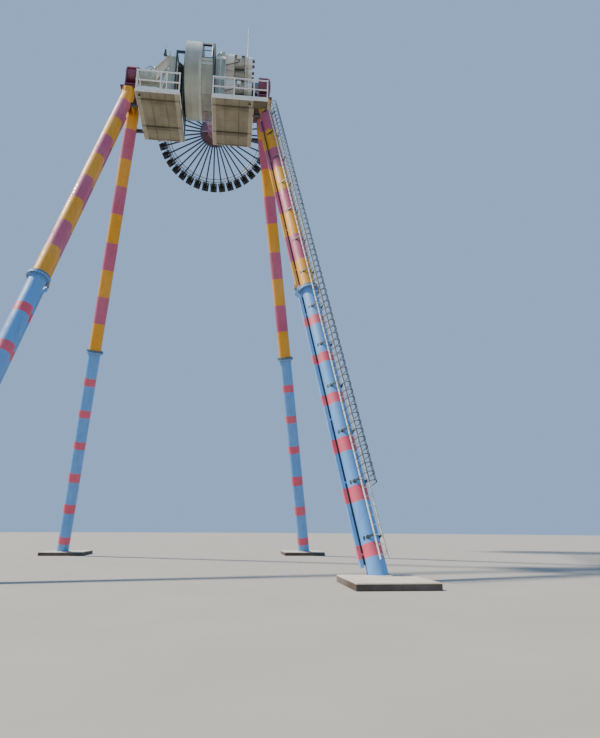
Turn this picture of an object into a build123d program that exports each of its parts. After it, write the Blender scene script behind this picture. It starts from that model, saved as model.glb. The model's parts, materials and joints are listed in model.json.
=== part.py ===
from build123d import *
import math
import os

# Pendulum ride on two A-frame towers, shown with its arm swung up behind.
# Millimetres. X runs along the main shaft to the right, Y to the rear, Z up.
# The origin is on the ground, midway between the four footings.

# Towers and footings
plinth_height = 200
plinth_inner_x = 5500
plinth_outer_x = 7750
plinth_inner_y = 8150
plinth_outer_y = 11000
plinth_chamfer = 30
axle_height = 23800
foot_x = 6630
foot_y = 8710
meeting_height = axle_height - 300
meeting_x = 3130
meeting_y = 230
leg_radius = 310
leg_wall = 25
base_ring_width = 50
base_ring_thickness = 25
base_ring_wall = 40
flange_distance = 11070
flange_width = 124
flange_thickness = 60
elbow_height = axle_height - 1780
elbow_run = 690
head_web_half = 130
head_web_sheet = 25

# Tower heads and main shaft
shaft_radius = 240
shaft_overhang = 60
bearing_clearance = 0.08
head_plate_underside = axle_height - 1400
head_plate_thickness = 80
head_plate_center_x = 3270
head_plate_half_x = 450
head_plate_half_y = 1000
housing_center_x = 3330
housing_width = 560
housing_radius = 480
housing_base_half_y = 620
housing_wall = 45
housing_foot_height = 260
housing_shelf_rise = 430
housing_cap_rise = 180
bearing_wall_step = 60
sole_step = 90
shelf_thickness = 50

# Platforms beside the pendulum head
platform_inner_x = 800
platform_left_inner_x = 730
platform_outer_x = 2780
platform_front_y = -2050
platform_rear_y = 1600
platform_underside = axle_height - 2480
tray_height = 120
tray_sheet = 12
edge_channel_width = 90
cross_beam_width = 230
cross_beam_drop = 70
cross_beam_front_y = -1450
cross_beam_rear_y = 550
joint_bar_width = 60
joint_bar_drop = 18
deck_thickness = 30
step_width = 690
step_depth = 540
side_rail_length = 900
step_height = 90
right_front_posts = (0, 0.385, 0.75, 1)
left_front_posts = (0, 0.3, 0.44, 1)

# Railings
rail_height = 1100
mid_rail_height = 560
post_size = 60
rail_size = 50
toe_board_height = 130
toe_board_thickness = 12

# Ladder, cage and ducts on the legs
ladder_turn = 64
ladder_width = 300
ladder_standoff = 150
ladder_start = 330
ladder_margin = 620
stringer_width = 55
stringer_thickness = 22
rung_radius = 14
rung_pitch = 300
cage_start = 2600
cage_reach = 430
cage_pitch = 300
cage_bar_width = 26
cage_bar_thickness = 12
cage_strip_size = 18
cage_sides = 6
bracket_pitch = 1800
bracket_first = 1080
bracket_thickness = 14
bracket_width = 60
bracket_inner_turn = 46
bracket_outer_turn = 68
duct_size = 110
duct_gap = 70
duct_turn_right = -172
duct_turn_left = 70
duct_start = 300
duct_margin = 1170
duct_jog_half = 300
duct_jog_out = 110
duct_clip_pitch = 2300

# Ties from the legs to the platforms
tie_depth = 160
tie_width = 120
tie_web = 16

# Drives on the platforms
drive_clearance = 15
right_gearbox_x = 840
right_gearbox_width = 480
right_gearbox_half_depth = 600
right_gearbox_top = 1620
right_gearbox_slope = 520
right_crown_half = 150
case_cap_radius = 70
case_cap_height = 110
motor_spread_y = 430
motor_upper_z = 1060
motor_lower_z = -480
motor_flange_length = 60
motor_flange_radius = 375
motor_gear_radius = 350
motor_gear_length = 380
motor_body_radius = 325
motor_body_length = 560
motor_end_radius = 300
motor_end_length = 380
motor_cap_radius = 75
motor_cap_length = 120
left_gearbox_x = 1180
left_gearbox_width = 330
left_gearbox_half_depth = 520
left_gearbox_top = 1150
brace_thickness = 30
brace_flange_width = 130
brace_flange_thickness = 28
brace_top = 1040
brace_right_low = 450
brace_left_top = 240
brace_left_low = -600
brace_reach = 600
sleeve_outer_radius = 390
sleeve_flange_step = 50
sleeve_flange_width = 60
collar_half_depth = 470
collar_length = 560
collar_height = 340
collar_drop = 600
collar_corner = 150
seat_gap = 0.3
frame_outer_post_x = 1110
frame_post_size = 70
frame_half_depth = 900
frame_top = 1050
frame_middle = 450
frame_low = -1150
frame_panel_sheet = 12
frame_hang = 420
beacon_radius = 170
beacon_foot = 60
beacon_skirt = 85
beacon_spot_x = 1400
beacon_spot_y = 420
mast_radius = 30
mast_height = 1830
mast_base_radius = 90
mast_spot = 140

# Pendulum head
swing_angle = 119
drum_radius = 1870
drum_left_x = -600
drum_seam_x = 210
drum_right_x = 790
drum_wall = 20
cover_step = 30
cheek_thickness = 30
cheek_hub_radius = 520
window_start = 48
window_stop = 152
window_bar_radius = 30

# Arm and hub
arm_length = 19600
arm_root_width = 860
arm_tip_width = 560
arm_wall = 20
arm_root_distance = drum_radius - 230
arm_tip_distance = arm_length - 1250
arm_corner = 0.14
arm_band_width = 60
arm_band_step = 45
arm_bands = 5
arm_stem_share = 0.52
socket_radius = 560
socket_fins = 8
fin_thickness = 24
slew_radius = 520
slew_height = 130
slew_gap = 6
spindle_radius = 180
spindle_length = 240

# Gondola
hub_radius = 1100
hub_top_radius = 480
hub_height = 560
hub_rim_height = 160
hub_ribs = 12
hub_rib_width = 90
hub_rib_rise = 30
hub_drum_radius = 620
hub_drum_height = 420
hub_wall = 40
seat_count = 40
spoke_inner_depth = 200
spoke_outer_depth = 90
spoke_width = 110
ring_radius = 3740
outer_ring_radius = 3960
ring_tube_radius = 45
ring_sides = 6
seat_width = 560
seat_back_height = 980
seat_shoulder_share = 0.72
seat_back_thickness = 90
seat_back_radius = outer_ring_radius + 120
seat_wing_depth = 130
seat_wing_thickness = 55
seat_pan_depth = 720
seat_pan_thickness = 110
seat_pan_drop = 330
restraint_radius = 34
restraint_half_width = 165
restraint_reach = 520

tower_sides = {"left": -1, "right": 1}
tower_ends = {"front": -1, "rear": 1}


def rod(start, end, radius, sides=8):
    """Straight bar of a few flat sides between two points."""
    line = Vector(*end) - Vector(*start)
    base = Plane(origin=Vector(*start), z_dir=line)
    return extrude(base * RegularPolygon(radius, sides), amount=line.length)


def tube(start, end, radius, wall):
    """Open round tube between two points."""
    line = Vector(*end) - Vector(*start)
    base = Plane(origin=Vector(*start), z_dir=line)
    ring = Circle(radius) - Circle(radius - wall)
    return extrude(base * ring, amount=line.length)


def cylinder_x(start, length, y, z, radius):
    """Solid cylinder along X."""
    base = Plane(origin=(start, y, z), z_dir=(1, 0, 0), x_dir=(0, 1, 0))
    return extrude(base * Circle(radius), amount=length)


def block(x_low, x_high, y_low, y_high, z_low, z_high):
    """Box between two corners."""
    size = (x_high - x_low, y_high - y_low, z_high - z_low)
    return Pos((x_low + x_high) / 2, (y_low + y_high) / 2, (z_low + z_high) / 2) * Box(*size)


def side_block(side, near, far, y_low, y_high, z_low, z_high):
    """Box on the left or right tower, by its distances from the middle."""
    x_low = min(side * near, side * far)
    x_high = max(side * near, side * far)
    return block(x_low, x_high, y_low, y_high, z_low, z_high)


def join(pieces):
    """Fuse a list of overlapping or touching solids."""
    first, *others = pieces
    return first.fuse(*others) if others else first


# Leg geometry

def leg_foot(side, end):
    """Point where a leg's centre line meets its footing."""
    return Vector(side * foot_x, end * foot_y, plinth_height)


def leg_line(side, end):
    """Unit vector up a leg."""
    top = Vector(side * meeting_x, end * meeting_y, meeting_height)
    return (top - leg_foot(side, end)).normalized()


def leg_point(side, end, distance):
    """Point on a leg's centre line."""
    return leg_foot(side, end) + leg_line(side, end) * distance


def leg_distance_at(height):
    """Distance along a leg to a height above the ground."""
    return (height - plinth_height) / leg_line(1, 1).Z


def elbow_start():
    """Distance along a leg to the foot of its elbow."""
    return leg_distance_at(elbow_height) - elbow_run


def leg_frame(side, end, distance, turn):
    """Plane across a leg, its X axis pointing out of the tube at a turn from world X."""
    line = leg_line(side, end)
    level = Vector(math.cos(math.radians(turn)), math.sin(math.radians(turn)), 0)
    outward = (level - line * level.dot(line)).normalized()
    return Plane(origin=leg_point(side, end, distance), x_dir=outward, z_dir=line)


# Footings and legs

def plinth(side, end):
    """Concrete footing that reaches outward from the leg."""
    body = block(plinth_inner_x, plinth_outer_x, plinth_inner_y, plinth_outer_y, 0, plinth_height)
    body = chamfer(body.edges().group_by(Axis.Z)[-1], plinth_chamfer)
    if side < 0:
        body = mirror(body, about=Plane.YZ)
    if end < 0:
        body = mirror(body, about=Plane.XZ)
    return body


def flange_ring(side, end, start):
    """Bolting ring round a leg."""
    near = leg_point(side, end, start)
    far = leg_point(side, end, start + flange_thickness)
    return tube(near, far, leg_radius + flange_width, flange_width + leg_wall)


def leg_lower(side, end):
    """Lower tube with its base ring and the lower half of the flange."""
    below_foot = leg_point(side, end, -leg_radius)
    above_foot = leg_point(side, end, leg_radius)
    shell = tube(below_foot, leg_point(side, end, flange_distance), leg_radius, leg_wall)
    ring = flange_ring(side, end, flange_distance - flange_thickness)
    base_reach = leg_radius + base_ring_width
    base = tube(below_foot, above_foot, base_reach, base_reach - base_ring_wall)
    foot = leg_foot(side, end)
    near = 3 * leg_radius
    slice_top = plinth_height + base_ring_thickness
    slab = block(foot.X - near, foot.X + near, foot.Y - near, foot.Y + near, plinth_height, slice_top)
    below = block(foot.X - near, foot.X + near, foot.Y - near, foot.Y + near, -near, plinth_height)
    return (shell + ring - below) + (base & slab)


def leg_upper(side, end):
    """Upper tube with the upper half of the flange."""
    top = leg_point(side, end, elbow_start())
    shell = tube(leg_point(side, end, flange_distance), top, leg_radius, leg_wall)
    return shell + flange_ring(side, end, flange_distance)


def head_form(side, shrink):
    """Outline of a tower head, taken in by a wall."""
    radius = leg_radius - shrink
    elbow_distance = leg_distance_at(elbow_height)
    pieces = []
    for end in tower_ends.values():
        elbow = leg_point(side, end, elbow_distance)
        start = leg_point(side, end, elbow_start())
        line = elbow - start
        base = Plane(origin=start, z_dir=line)
        pieces.append(extrude(base * Circle(radius), amount=line.length))
        pieces.append(Pos(*elbow) * Sphere(radius))
        upright = Plane(origin=elbow, z_dir=(0, 0, 1)) * Circle(radius)
        pieces.append(extrude(upright, amount=head_plate_underside - shrink - elbow.Z))
    return join(pieces)


def tower_head(side):
    """Elbows that gather both legs under one top plate."""
    shell = head_form(side, 0) - head_form(side, leg_wall)
    elbow = leg_point(side, 1, leg_distance_at(elbow_height))
    web_half = elbow.Y - leg_radius + leg_wall
    web_low = elbow_height - leg_radius * 0.6
    web_x = abs(elbow.X)
    under = head_plate_underside
    outer = head_web_half
    inner = head_web_half - head_web_sheet
    web = side_block(side, web_x - outer, web_x + outer, -web_half, web_half, web_low, under)
    opening = side_block(side, web_x - inner, web_x + inner, -web_half, web_half,
                         web_low - 10, under - head_web_sheet)
    plate_low = head_plate_center_x - head_plate_half_x
    plate_high = head_plate_center_x + head_plate_half_x
    plate_half = head_plate_half_y
    plate_top = under + head_plate_thickness
    plate = side_block(side, plate_low, plate_high, -plate_half, plate_half, under, plate_top)
    return shell + (web - opening) + plate


# Bearings and shaft

def housing_outline():
    """Bearing housing seen along the shaft, as a face on the YZ plane through the origin."""
    base = head_plate_underside + head_plate_thickness
    foot_edge = housing_base_half_y
    drop = axle_height - base
    fall = drop - housing_foot_height
    tangent = math.acos(housing_radius / math.hypot(foot_edge, fall))
    lean = math.atan2(fall, foot_edge)
    turn = tangent - lean
    side_y = housing_radius * math.cos(turn)
    side_z = axle_height + housing_radius * math.sin(turn)
    outline = [
        Line((-foot_edge, base), (foot_edge, base)),
        Line((foot_edge, base), (foot_edge, base + housing_foot_height)),
        Line((foot_edge, base + housing_foot_height), (side_y, side_z)),
        ThreePointArc((side_y, side_z), (0, axle_height + housing_radius), (-side_y, side_z)),
        Line((-side_y, side_z), (-foot_edge, base + housing_foot_height)),
        Line((-foot_edge, base + housing_foot_height), (-foot_edge, base)),
    ]
    return make_face(outline)


def on_side_plane(x):
    """Plane across the shaft: its X is world Y and its Y is world Z."""
    return Plane(origin=(x, 0, 0), x_dir=(0, 1, 0), z_dir=(1, 0, 0))


def bearing_box(side):
    """Welded bearing housing with two cheeks, a bearing tube and shelves between."""
    low = side * housing_center_x - housing_width / 2
    base = head_plate_underside + head_plate_thickness
    far = low + housing_width - housing_wall
    cheek = extrude(on_side_plane(low) * housing_outline(), amount=housing_wall)
    far_cheek = extrude(on_side_plane(far) * housing_outline(), amount=housing_wall)
    bearing = cylinder_x(low, housing_width, 0, axle_height, housing_radius - bearing_wall_step)
    top_edge = axle_height + housing_radius
    cap_ring = cylinder_x(low, housing_width, 0, axle_height, housing_radius)
    cap_low = axle_height + housing_cap_rise
    cap = cap_ring & block(low, low + housing_width, -housing_radius, housing_radius, cap_low, top_edge + 10)
    web = block(low, low + housing_width, -housing_wall / 2, housing_wall / 2, base, axle_height)
    sole_low = low - sole_step
    sole_high = low + housing_width + sole_step
    sole_half = housing_base_half_y + sole_step
    sole = block(sole_low, sole_high, -sole_half, sole_half, base, base + shelf_thickness)
    shelf_z = base + housing_shelf_rise
    shelf_half = housing_base_half_y - 90
    shelf = block(low, low + housing_width, -shelf_half, shelf_half, shelf_z, shelf_z + shelf_thickness)
    body = join([cheek, far_cheek, bearing, cap, web, sole, shelf])
    return body - cylinder_x(low - 10, housing_width + 20, 0, axle_height, shaft_radius + bearing_clearance)


def main_shaft():
    """Stepped shaft through both bearings and the pendulum head."""
    reach = housing_center_x + housing_width / 2 + shaft_overhang
    shaft = cylinder_x(-reach, 2 * reach, 0, axle_height, shaft_radius)
    return chamfer(shaft.edges().filter_by(GeomType.CIRCLE), 15)


# Platforms

def platform_near(side):
    """Distance from the middle to a platform's inner edge."""
    return platform_inner_x if side > 0 else platform_left_inner_x


def platform(side):
    """Tray with a closed underside, edge channels and cross beams."""
    top = platform_underside + tray_height
    near = platform_near(side)
    far = platform_outer_x
    front = platform_front_y
    rear = platform_rear_y
    under = platform_underside
    body = side_block(side, near, far, front, rear, under, top)
    hollow = side_block(side, near + edge_channel_width, far - edge_channel_width, front + edge_channel_width,
                        rear - edge_channel_width, under + tray_sheet, top + 10)
    pieces = [body - hollow]
    for y in (cross_beam_front_y, cross_beam_rear_y):
        half = cross_beam_width / 2
        pieces.append(side_block(side, near, far, y - half, y + half, under - cross_beam_drop, under))
    width = far - near
    for share in (1, 2):
        x = near + width * share / 3
        half = joint_bar_width / 2
        pieces.append(side_block(side, x - half, x + half, front, rear, under - joint_bar_drop, under))
    if side > 0:
        step_front = platform_front_y
        step_rear = platform_front_y + step_depth
        pieces.append(block(far, far + step_width, step_front, step_rear, top - step_height, top))
    return join(pieces)


def deck(side):
    """Walking surface laid on the tray."""
    top = platform_underside + tray_height
    plate = side_block(side, platform_near(side), platform_outer_x, platform_front_y, platform_rear_y,
                       top, top + deck_thickness)
    if side > 0:
        step_rear = platform_front_y + step_depth
        plate += block(platform_outer_x, platform_outer_x + step_width, platform_front_y, step_rear,
                       top, top + deck_thickness)
    return plate


def rail_run(start, end, posts, floor):
    """Posts, two rails and a toe board along one straight edge."""
    pieces = []
    line = Vector(*end) - Vector(*start)
    for share in posts:
        spot = Vector(*start) + line * share
        half = post_size / 2
        top = floor + rail_height
        pieces.append(block(spot.X - half, spot.X + half, spot.Y - half, spot.Y + half, floor, top))
    for height in (rail_height, mid_rail_height):
        half = rail_size / 2
        low_x = min(start[0], end[0]) - half
        high_x = max(start[0], end[0]) + half
        low_y = min(start[1], end[1]) - half
        high_y = max(start[1], end[1]) + half
        pieces.append(block(low_x, high_x, low_y, high_y, floor + height - rail_size, floor + height))
    board = toe_board_thickness / 2
    low_x = min(start[0], end[0]) - board
    high_x = max(start[0], end[0]) + board
    low_y = min(start[1], end[1]) - board
    high_y = max(start[1], end[1]) + board
    pieces.append(block(low_x, high_x, low_y, high_y, floor, floor + toe_board_height))
    return pieces


def railing(side):
    """Guard rail round the open edges of a platform."""
    floor = deck_top()
    inset = post_size / 2
    near = side * (platform_near(side) + inset)
    far = side * (platform_outer_x - inset)
    front = platform_front_y + inset
    rear = platform_rear_y - inset
    pieces = []
    if side > 0:
        step_far = platform_outer_x + step_width - inset
        pieces += rail_run((near, front, 0), (step_far, front, 0), right_front_posts, floor)
    else:
        pieces += rail_run((near, front, 0), (far, front, 0), left_front_posts, floor)
        pieces += rail_run((far, front, 0), (far, front + side_rail_length, 0), (1,), floor)
    pieces += rail_run((near, rear, 0), (far, rear, 0), (0, 0.5, 1), floor)
    pieces += rail_run((far, rear, 0), (far, rear - side_rail_length, 0), (1,), floor)
    return join(pieces)


def tie_bracket(side, end):
    """Short beam from a leg to the outer edge of a platform."""
    top = platform_underside + tray_height
    low = top - tie_depth
    distance = leg_distance_at((top + low) / 2)
    spot = leg_point(side, end, distance)
    y_edge = spot.Y
    start_x = abs(spot.X)
    end_x = platform_outer_x
    half = tie_width / 2
    web = side_block(side, end_x, start_x, y_edge - tie_web / 2, y_edge + tie_web / 2, low, top)
    upper = side_block(side, end_x, start_x, y_edge - half, y_edge + half, top - tie_web, top)
    lower = side_block(side, end_x, start_x, y_edge - half, y_edge + half, low, low + tie_web)
    beam = web + upper + lower
    line = leg_line(side, end)
    start = leg_point(side, end, distance - 3000)
    clear = extrude(Plane(origin=start, z_dir=line) * Circle(leg_radius), amount=6000)
    return beam - clear


# Ladder

def ladder_plane(distance):
    """Plane across the ladder leg with X pointing out through the rungs."""
    return leg_frame(1, -1, distance, -ladder_turn)


def ladder_stop():
    """Distance along the leg to the top of the ladder."""
    return leg_distance_at(elbow_height) - ladder_margin


def ladder_spot(distance, out, across):
    """Point beside the ladder leg, out from the tube's surface."""
    plane = ladder_plane(distance)
    return plane.origin + plane.x_dir * (leg_radius + out) + plane.y_dir * across


def flat_bar(start, end, out_direction, width, thickness):
    """Flat bar between two points, its width along a direction."""
    line = Vector(*end) - Vector(*start)
    base = Plane(origin=Vector(*start), x_dir=out_direction, z_dir=line)
    return extrude(base * Rectangle(width, thickness), amount=line.length)


def ladder():
    """Two flat stringers with round rungs."""
    out = ladder_plane(0).x_dir
    pieces = []
    for across in (-ladder_width / 2, ladder_width / 2):
        start = ladder_spot(ladder_start, ladder_standoff, across)
        end = ladder_spot(ladder_stop(), ladder_standoff, across)
        pieces.append(flat_bar(start, end, out, stringer_width, stringer_thickness))
    count = int((ladder_stop() - ladder_start) // rung_pitch)
    for index in range(count):
        distance = ladder_start + rung_pitch * (index + 0.5)
        start = ladder_spot(distance, ladder_standoff, -ladder_width / 2)
        end = ladder_spot(distance, ladder_standoff, ladder_width / 2)
        pieces.append(rod(start, end, rung_radius, 4))
    return join(pieces)


def cage_corners():
    """Corners of a hoop, as its reach beyond the stringers and its distance across."""
    half = ladder_width / 2 + stringer_thickness
    straight = cage_reach - half
    corners = [(0, -half)]
    for index in range(cage_sides + 1):
        angle = math.pi * (index / cage_sides - 0.5)
        corners.append((straight + half * math.cos(angle), half * math.sin(angle)))
    corners.append((0, half))
    return corners


def cage_hoop(distance):
    """Hoop bent from flat bar that stands out from the stringers."""
    plane = ladder_plane(distance)
    seat = plane.origin + plane.x_dir * (leg_radius + ladder_standoff + stringer_width / 2)
    local = Plane(origin=seat, x_dir=plane.x_dir, z_dir=plane.z_dir)
    outer = make_face(Polyline(*cage_corners(), close=True))
    shrink = cage_bar_thickness
    half = ladder_width / 2 + stringer_thickness
    inner = [(out - shrink * (out > 0), across * (1 - shrink / half)) for out, across in cage_corners()]
    face = outer - make_face(Polyline(*inner, close=True))
    return extrude(local * face, amount=cage_bar_width)


def ladder_cage():
    """Hoops tied by upright strips."""
    pieces = []
    count = int((ladder_stop() - cage_start) // cage_pitch)
    for index in range(count + 1):
        pieces.append(cage_hoop(cage_start + cage_pitch * index))
    out = ladder_plane(0).x_dir
    top = cage_start + cage_pitch * count + cage_bar_width
    inset = cage_bar_thickness + cage_strip_size / 2 - 1
    half = ladder_width / 2 + stringer_thickness
    for reach, across in cage_corners()[2:-2:2]:
        out_by = ladder_standoff + stringer_width / 2 + reach - inset
        sideways = across * (1 - inset / half)
        start = ladder_spot(cage_start, out_by, sideways)
        end = ladder_spot(top, out_by, sideways)
        pieces.append(flat_bar(start, end, out, cage_strip_size, cage_strip_size))
    return join(pieces)


def ladder_brackets():
    """Splayed flat arms that carry the stringers off the tube."""
    pieces = []
    out = ladder_plane(0).x_dir
    count = int((ladder_stop() - bracket_first) // bracket_pitch)
    for index in range(count + 1):
        distance = bracket_first + bracket_pitch * index
        plane = ladder_plane(distance)
        near = distance - bracket_width
        far = distance + bracket_width
        skin = tube(leg_point(1, -1, near), leg_point(1, -1, far), leg_radius + seat_gap, 100)
        for sign in (-1, 1):
            across = sign * ladder_width / 2
            low_end = ladder_spot(near, ladder_standoff, across)
            high_end = ladder_spot(far, ladder_standoff, across)
            stringer = flat_bar(low_end, high_end, out, stringer_width + 2 * seat_gap,
                                stringer_thickness + 2 * seat_gap)
            for spread in (bracket_inner_turn, bracket_outer_turn):
                turn = math.radians(spread) * sign
                root = leg_radius - bracket_thickness
                out_by = plane.x_dir * (root * math.cos(turn))
                foot = plane.origin + out_by + plane.y_dir * (root * math.sin(turn))
                tip = ladder_spot(distance, ladder_standoff, across)
                arm_bar = flat_bar(foot, tip, plane.z_dir, bracket_width, bracket_thickness)
                pieces.append(arm_bar - skin - stringer)
    return pieces


# Ducts

def duct(side):
    """Square cable duct up the inner face of a front leg, stepping round the flange."""
    turn = duct_turn_right if side > 0 else duct_turn_left
    stop = leg_distance_at(elbow_height) - duct_margin
    reach = leg_radius + duct_gap + duct_size / 2
    jog = reach + duct_jog_out
    stops = [
        (duct_start, reach),
        (flange_distance - duct_jog_half, reach),
        (flange_distance - duct_jog_half / 2, jog),
        (flange_distance + duct_jog_half / 2, jog),
        (flange_distance + duct_jog_half, reach),
        (stop, reach),
    ]
    pieces = []
    for (low, low_reach), (high, high_reach) in zip(stops, stops[1:]):
        near = leg_frame(side, -1, low, turn)
        far = leg_frame(side, -1, high, turn)
        start = near.origin + near.x_dir * low_reach
        end = far.origin + far.x_dir * high_reach
        lap = (end - start).normalized() * 20
        pieces.append(flat_bar(start - lap, end + lap, near.x_dir, duct_size, duct_size))
    count = int((stop - duct_start) // duct_clip_pitch)
    for index in range(count + 1):
        distance = duct_start + 350 + duct_clip_pitch * index
        near = leg_frame(side, -1, distance, turn)
        start = near.origin + near.x_dir * (leg_radius + seat_gap)
        end = near.origin + near.x_dir * (leg_radius + duct_gap + 10)
        pieces.append(flat_bar(start, end, near.y_dir, 70, 70))
    return join(pieces)


# Drives

def deck_top():
    """Height of the walking surface."""
    return platform_underside + tray_height + deck_thickness


def right_gearbox():
    """Tall flat gear case in two halves with a pointed crown, bored for the shaft."""
    floor = deck_top()
    half = right_gearbox_half_depth
    crown = axle_height + right_gearbox_top
    shoulder = crown - right_gearbox_slope
    outline = make_face(Polyline(
        (-half, floor), (half, floor), (half, shoulder), (right_crown_half, crown),
        (-right_crown_half, crown), (-half, shoulder), close=True))
    body = extrude(on_side_plane(right_gearbox_x) * outline, amount=right_gearbox_width)
    middle = right_gearbox_x + right_gearbox_width / 2
    cap = Pos(middle, 0, crown) * Cylinder(case_cap_radius, 2 * case_cap_height)
    groove = block(middle - 10, middle + 10, -half - 10, -half + 12, floor - 10, crown + 200)
    shaft_hole = cylinder_x(right_gearbox_x - 10, right_gearbox_width + 20, 0, axle_height,
                            shaft_radius + drive_clearance)
    return body + cap - groove - shaft_hole


def drive_motor(y, z):
    """Gear motor lying along X, bolted to the gear case."""
    x = right_gearbox_x + right_gearbox_width
    height = axle_height + z
    pieces = []
    stages = (
        (motor_flange_length, motor_flange_radius),
        (motor_gear_length, motor_gear_radius),
        (motor_body_length, motor_body_radius),
        (motor_end_length, motor_end_radius),
    )
    for length, radius in stages:
        pieces.append(cylinder_x(x, length, y, height, radius))
        x += length
    for sign in (-1, 1):
        shift = sign * motor_end_radius * 0.45
        pieces.append(cylinder_x(x, motor_cap_length, y + shift, height - shift / 3, motor_cap_radius))
    return join(pieces)


def drive_motors(z):
    """Front and rear motor of one row."""
    return [drive_motor(y, z) for y in (-motor_spread_y, motor_spread_y)]


def left_gearbox():
    """Narrow case by the pendulum head."""
    floor = deck_top()
    half = left_gearbox_half_depth
    crown = axle_height + left_gearbox_top
    body = side_block(-1, left_gearbox_x, left_gearbox_x + left_gearbox_width, -half, half, floor, crown)
    body = fillet(body.edges().filter_by(Axis.X).group_by(Axis.Z)[-1], 180)
    hole = cylinder_x(-left_gearbox_x - left_gearbox_width - 10, left_gearbox_width + 20, 0, axle_height,
                      shaft_radius + drive_clearance)
    return body - hole


def left_braces():
    """Sloped stiffener beams from the coupling box up to the gear case, one on each side."""
    right = -left_gearbox_x - left_gearbox_width
    left = right - brace_reach
    pieces = []
    for sign in (-1, 1):
        near = sign * (collar_half_depth + seat_gap)
        web = make_face(Polyline(
            (left, axle_height + brace_left_low), (right, axle_height + brace_right_low),
            (right, axle_height + brace_top), (left, axle_height + brace_left_top), close=True))
        base = Plane(origin=(0, near, 0), x_dir=(1, 0, 0), z_dir=(0, -1, 0))
        beam = [extrude(base * web, amount=-sign * brace_thickness)]
        middle = near + sign * brace_flange_width / 2
        for low, high in ((brace_left_low, brace_right_low), (brace_left_top, brace_top)):
            start = Vector(left, middle, axle_height + low)
            end = Vector(right + 200, middle, axle_height + high + 200 * (high - low) / brace_reach)
            beam.append(flat_bar(start, end, Vector(0, 1, 0), brace_flange_width, brace_flange_thickness))
        beyond = block(right, right + 1000, -2000, 2000, axle_height - 2000, axle_height + 3000)
        pieces.append(join(beam) - beyond)
    return pieces


def left_sleeve():
    """Bearing sleeve and coupling box round the shaft on the left platform."""
    right = -left_gearbox_x - left_gearbox_width
    left = right - collar_length
    box = block(left, right, -collar_half_depth, collar_half_depth, axle_height - collar_drop,
                axle_height + collar_height)
    box = fillet(box.edges().filter_by(Axis.X).group_by(Axis.Z)[-1], collar_corner)
    reach = -housing_center_x + housing_width / 2
    sleeve = cylinder_x(reach, left - reach, 0, axle_height, sleeve_outer_radius)
    flange = cylinder_x(reach, sleeve_flange_width, 0, axle_height, sleeve_outer_radius + sleeve_flange_step)
    body = join([box, sleeve, flange])
    return body - cylinder_x(reach - 10, right - reach + 20, 0, axle_height, shaft_radius + drive_clearance)


def pipe_frame():
    """Cable frame of square pipe on the inner edge of the left platform, closed by a sheet below."""
    top = axle_height + frame_top
    half = frame_post_size / 2
    inner_x = -platform_left_inner_x + half
    outer_x = -frame_outer_post_x
    hang = platform_underside - frame_hang
    pieces = []
    for y in (-frame_half_depth, frame_half_depth):
        pieces.append(block(outer_x - half, outer_x + half, y - half, y + half, deck_top(), top))
        pieces.append(block(inner_x - half, inner_x + half, y - half, y + half, hang, top))
        pieces.append(block(outer_x - half, inner_x + half, y - half, y + half, top - frame_post_size, top))
    for z in (top - half, axle_height + frame_middle, axle_height + frame_low, hang + half):
        pieces.append(block(inner_x - half, inner_x + half, -frame_half_depth, frame_half_depth,
                            z - half, z + half))
    pieces.append(block(outer_x - half, outer_x + half, -frame_half_depth, frame_half_depth,
                        top - frame_post_size, top))
    sheet = frame_panel_sheet / 2
    pieces.append(block(inner_x - sheet, inner_x + sheet, -frame_half_depth, frame_half_depth,
                        deck_top(), axle_height + frame_low))
    return join(pieces)


def standing_cylinder(x, y, z, radius, height):
    """Upright cylinder standing on a height."""
    return Pos(x, y, z) * Cylinder(radius, height, align=(Align.CENTER, Align.CENTER, Align.MIN))


def beacon():
    """Domed lamp on a short foot, at the front of the right platform."""
    x = platform_inner_x + beacon_spot_x
    y = platform_front_y + beacon_spot_y
    base = deck_top() + beacon_foot
    brim = base + beacon_skirt
    foot = standing_cylinder(x, y, deck_top(), beacon_radius * 0.4, beacon_foot)
    skirt = standing_cylinder(x, y, base, beacon_radius, beacon_skirt)
    dome = Pos(x, y, brim) * Sphere(beacon_radius)
    reach = 2 * beacon_radius
    cut = block(x - reach, x + reach, y - reach, y + reach, brim - reach, brim)
    return foot + skirt + (dome - cut)


def lightning_mast():
    """Slim mast on the upper front motor."""
    motor_start = right_gearbox_x + right_gearbox_width + motor_flange_length
    x = motor_start + motor_gear_length + motor_body_length + mast_spot
    y = -motor_spread_y
    start = axle_height + motor_upper_z + motor_end_radius - 15
    foot = standing_cylinder(x, y, start, mast_base_radius, 60)
    mast = Pos(x, y, start) * Cone(mast_radius, mast_radius * 0.5, mast_height,
                                   align=(Align.CENTER, Align.CENTER, Align.MIN))
    return foot + mast - drive_motor(-motor_spread_y, motor_upper_z)


# Pendulum, drawn hanging straight down and then swung

def swing(shape):
    """Carry a hanging shape up to the pose of the arm."""
    shaft = Axis((0, 0, axle_height), (1, 0, 0))
    return shape.rotate(shaft, swing_angle)


def drum_sector(radius, start, stop):
    """Pie slice on the side plane, angles from straight down towards the rear."""
    points = [(0, axle_height)]
    steps = max(2, int(abs(stop - start) // 30) + 1)
    for index in range(steps + 1):
        angle = math.radians(start + (stop - start) * index / steps)
        points.append((radius * math.sin(angle), axle_height - radius * math.cos(angle)))
    return make_face(Polyline(*points, close=True))


def head_drum():
    """Closed cover drum on the left of the pendulum head, ribbed at its seams."""
    width = drum_seam_x - drum_left_x
    outer = cylinder_x(drum_left_x, width, 0, axle_height, drum_radius)
    inside = drum_radius - drum_wall
    inner = cylinder_x(drum_left_x + drum_wall, width - 2 * drum_wall, 0, axle_height, inside)
    body = outer - inner
    body = body - cylinder_x(drum_left_x - 10, width + 20, 0, axle_height, shaft_radius)
    return body


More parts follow.
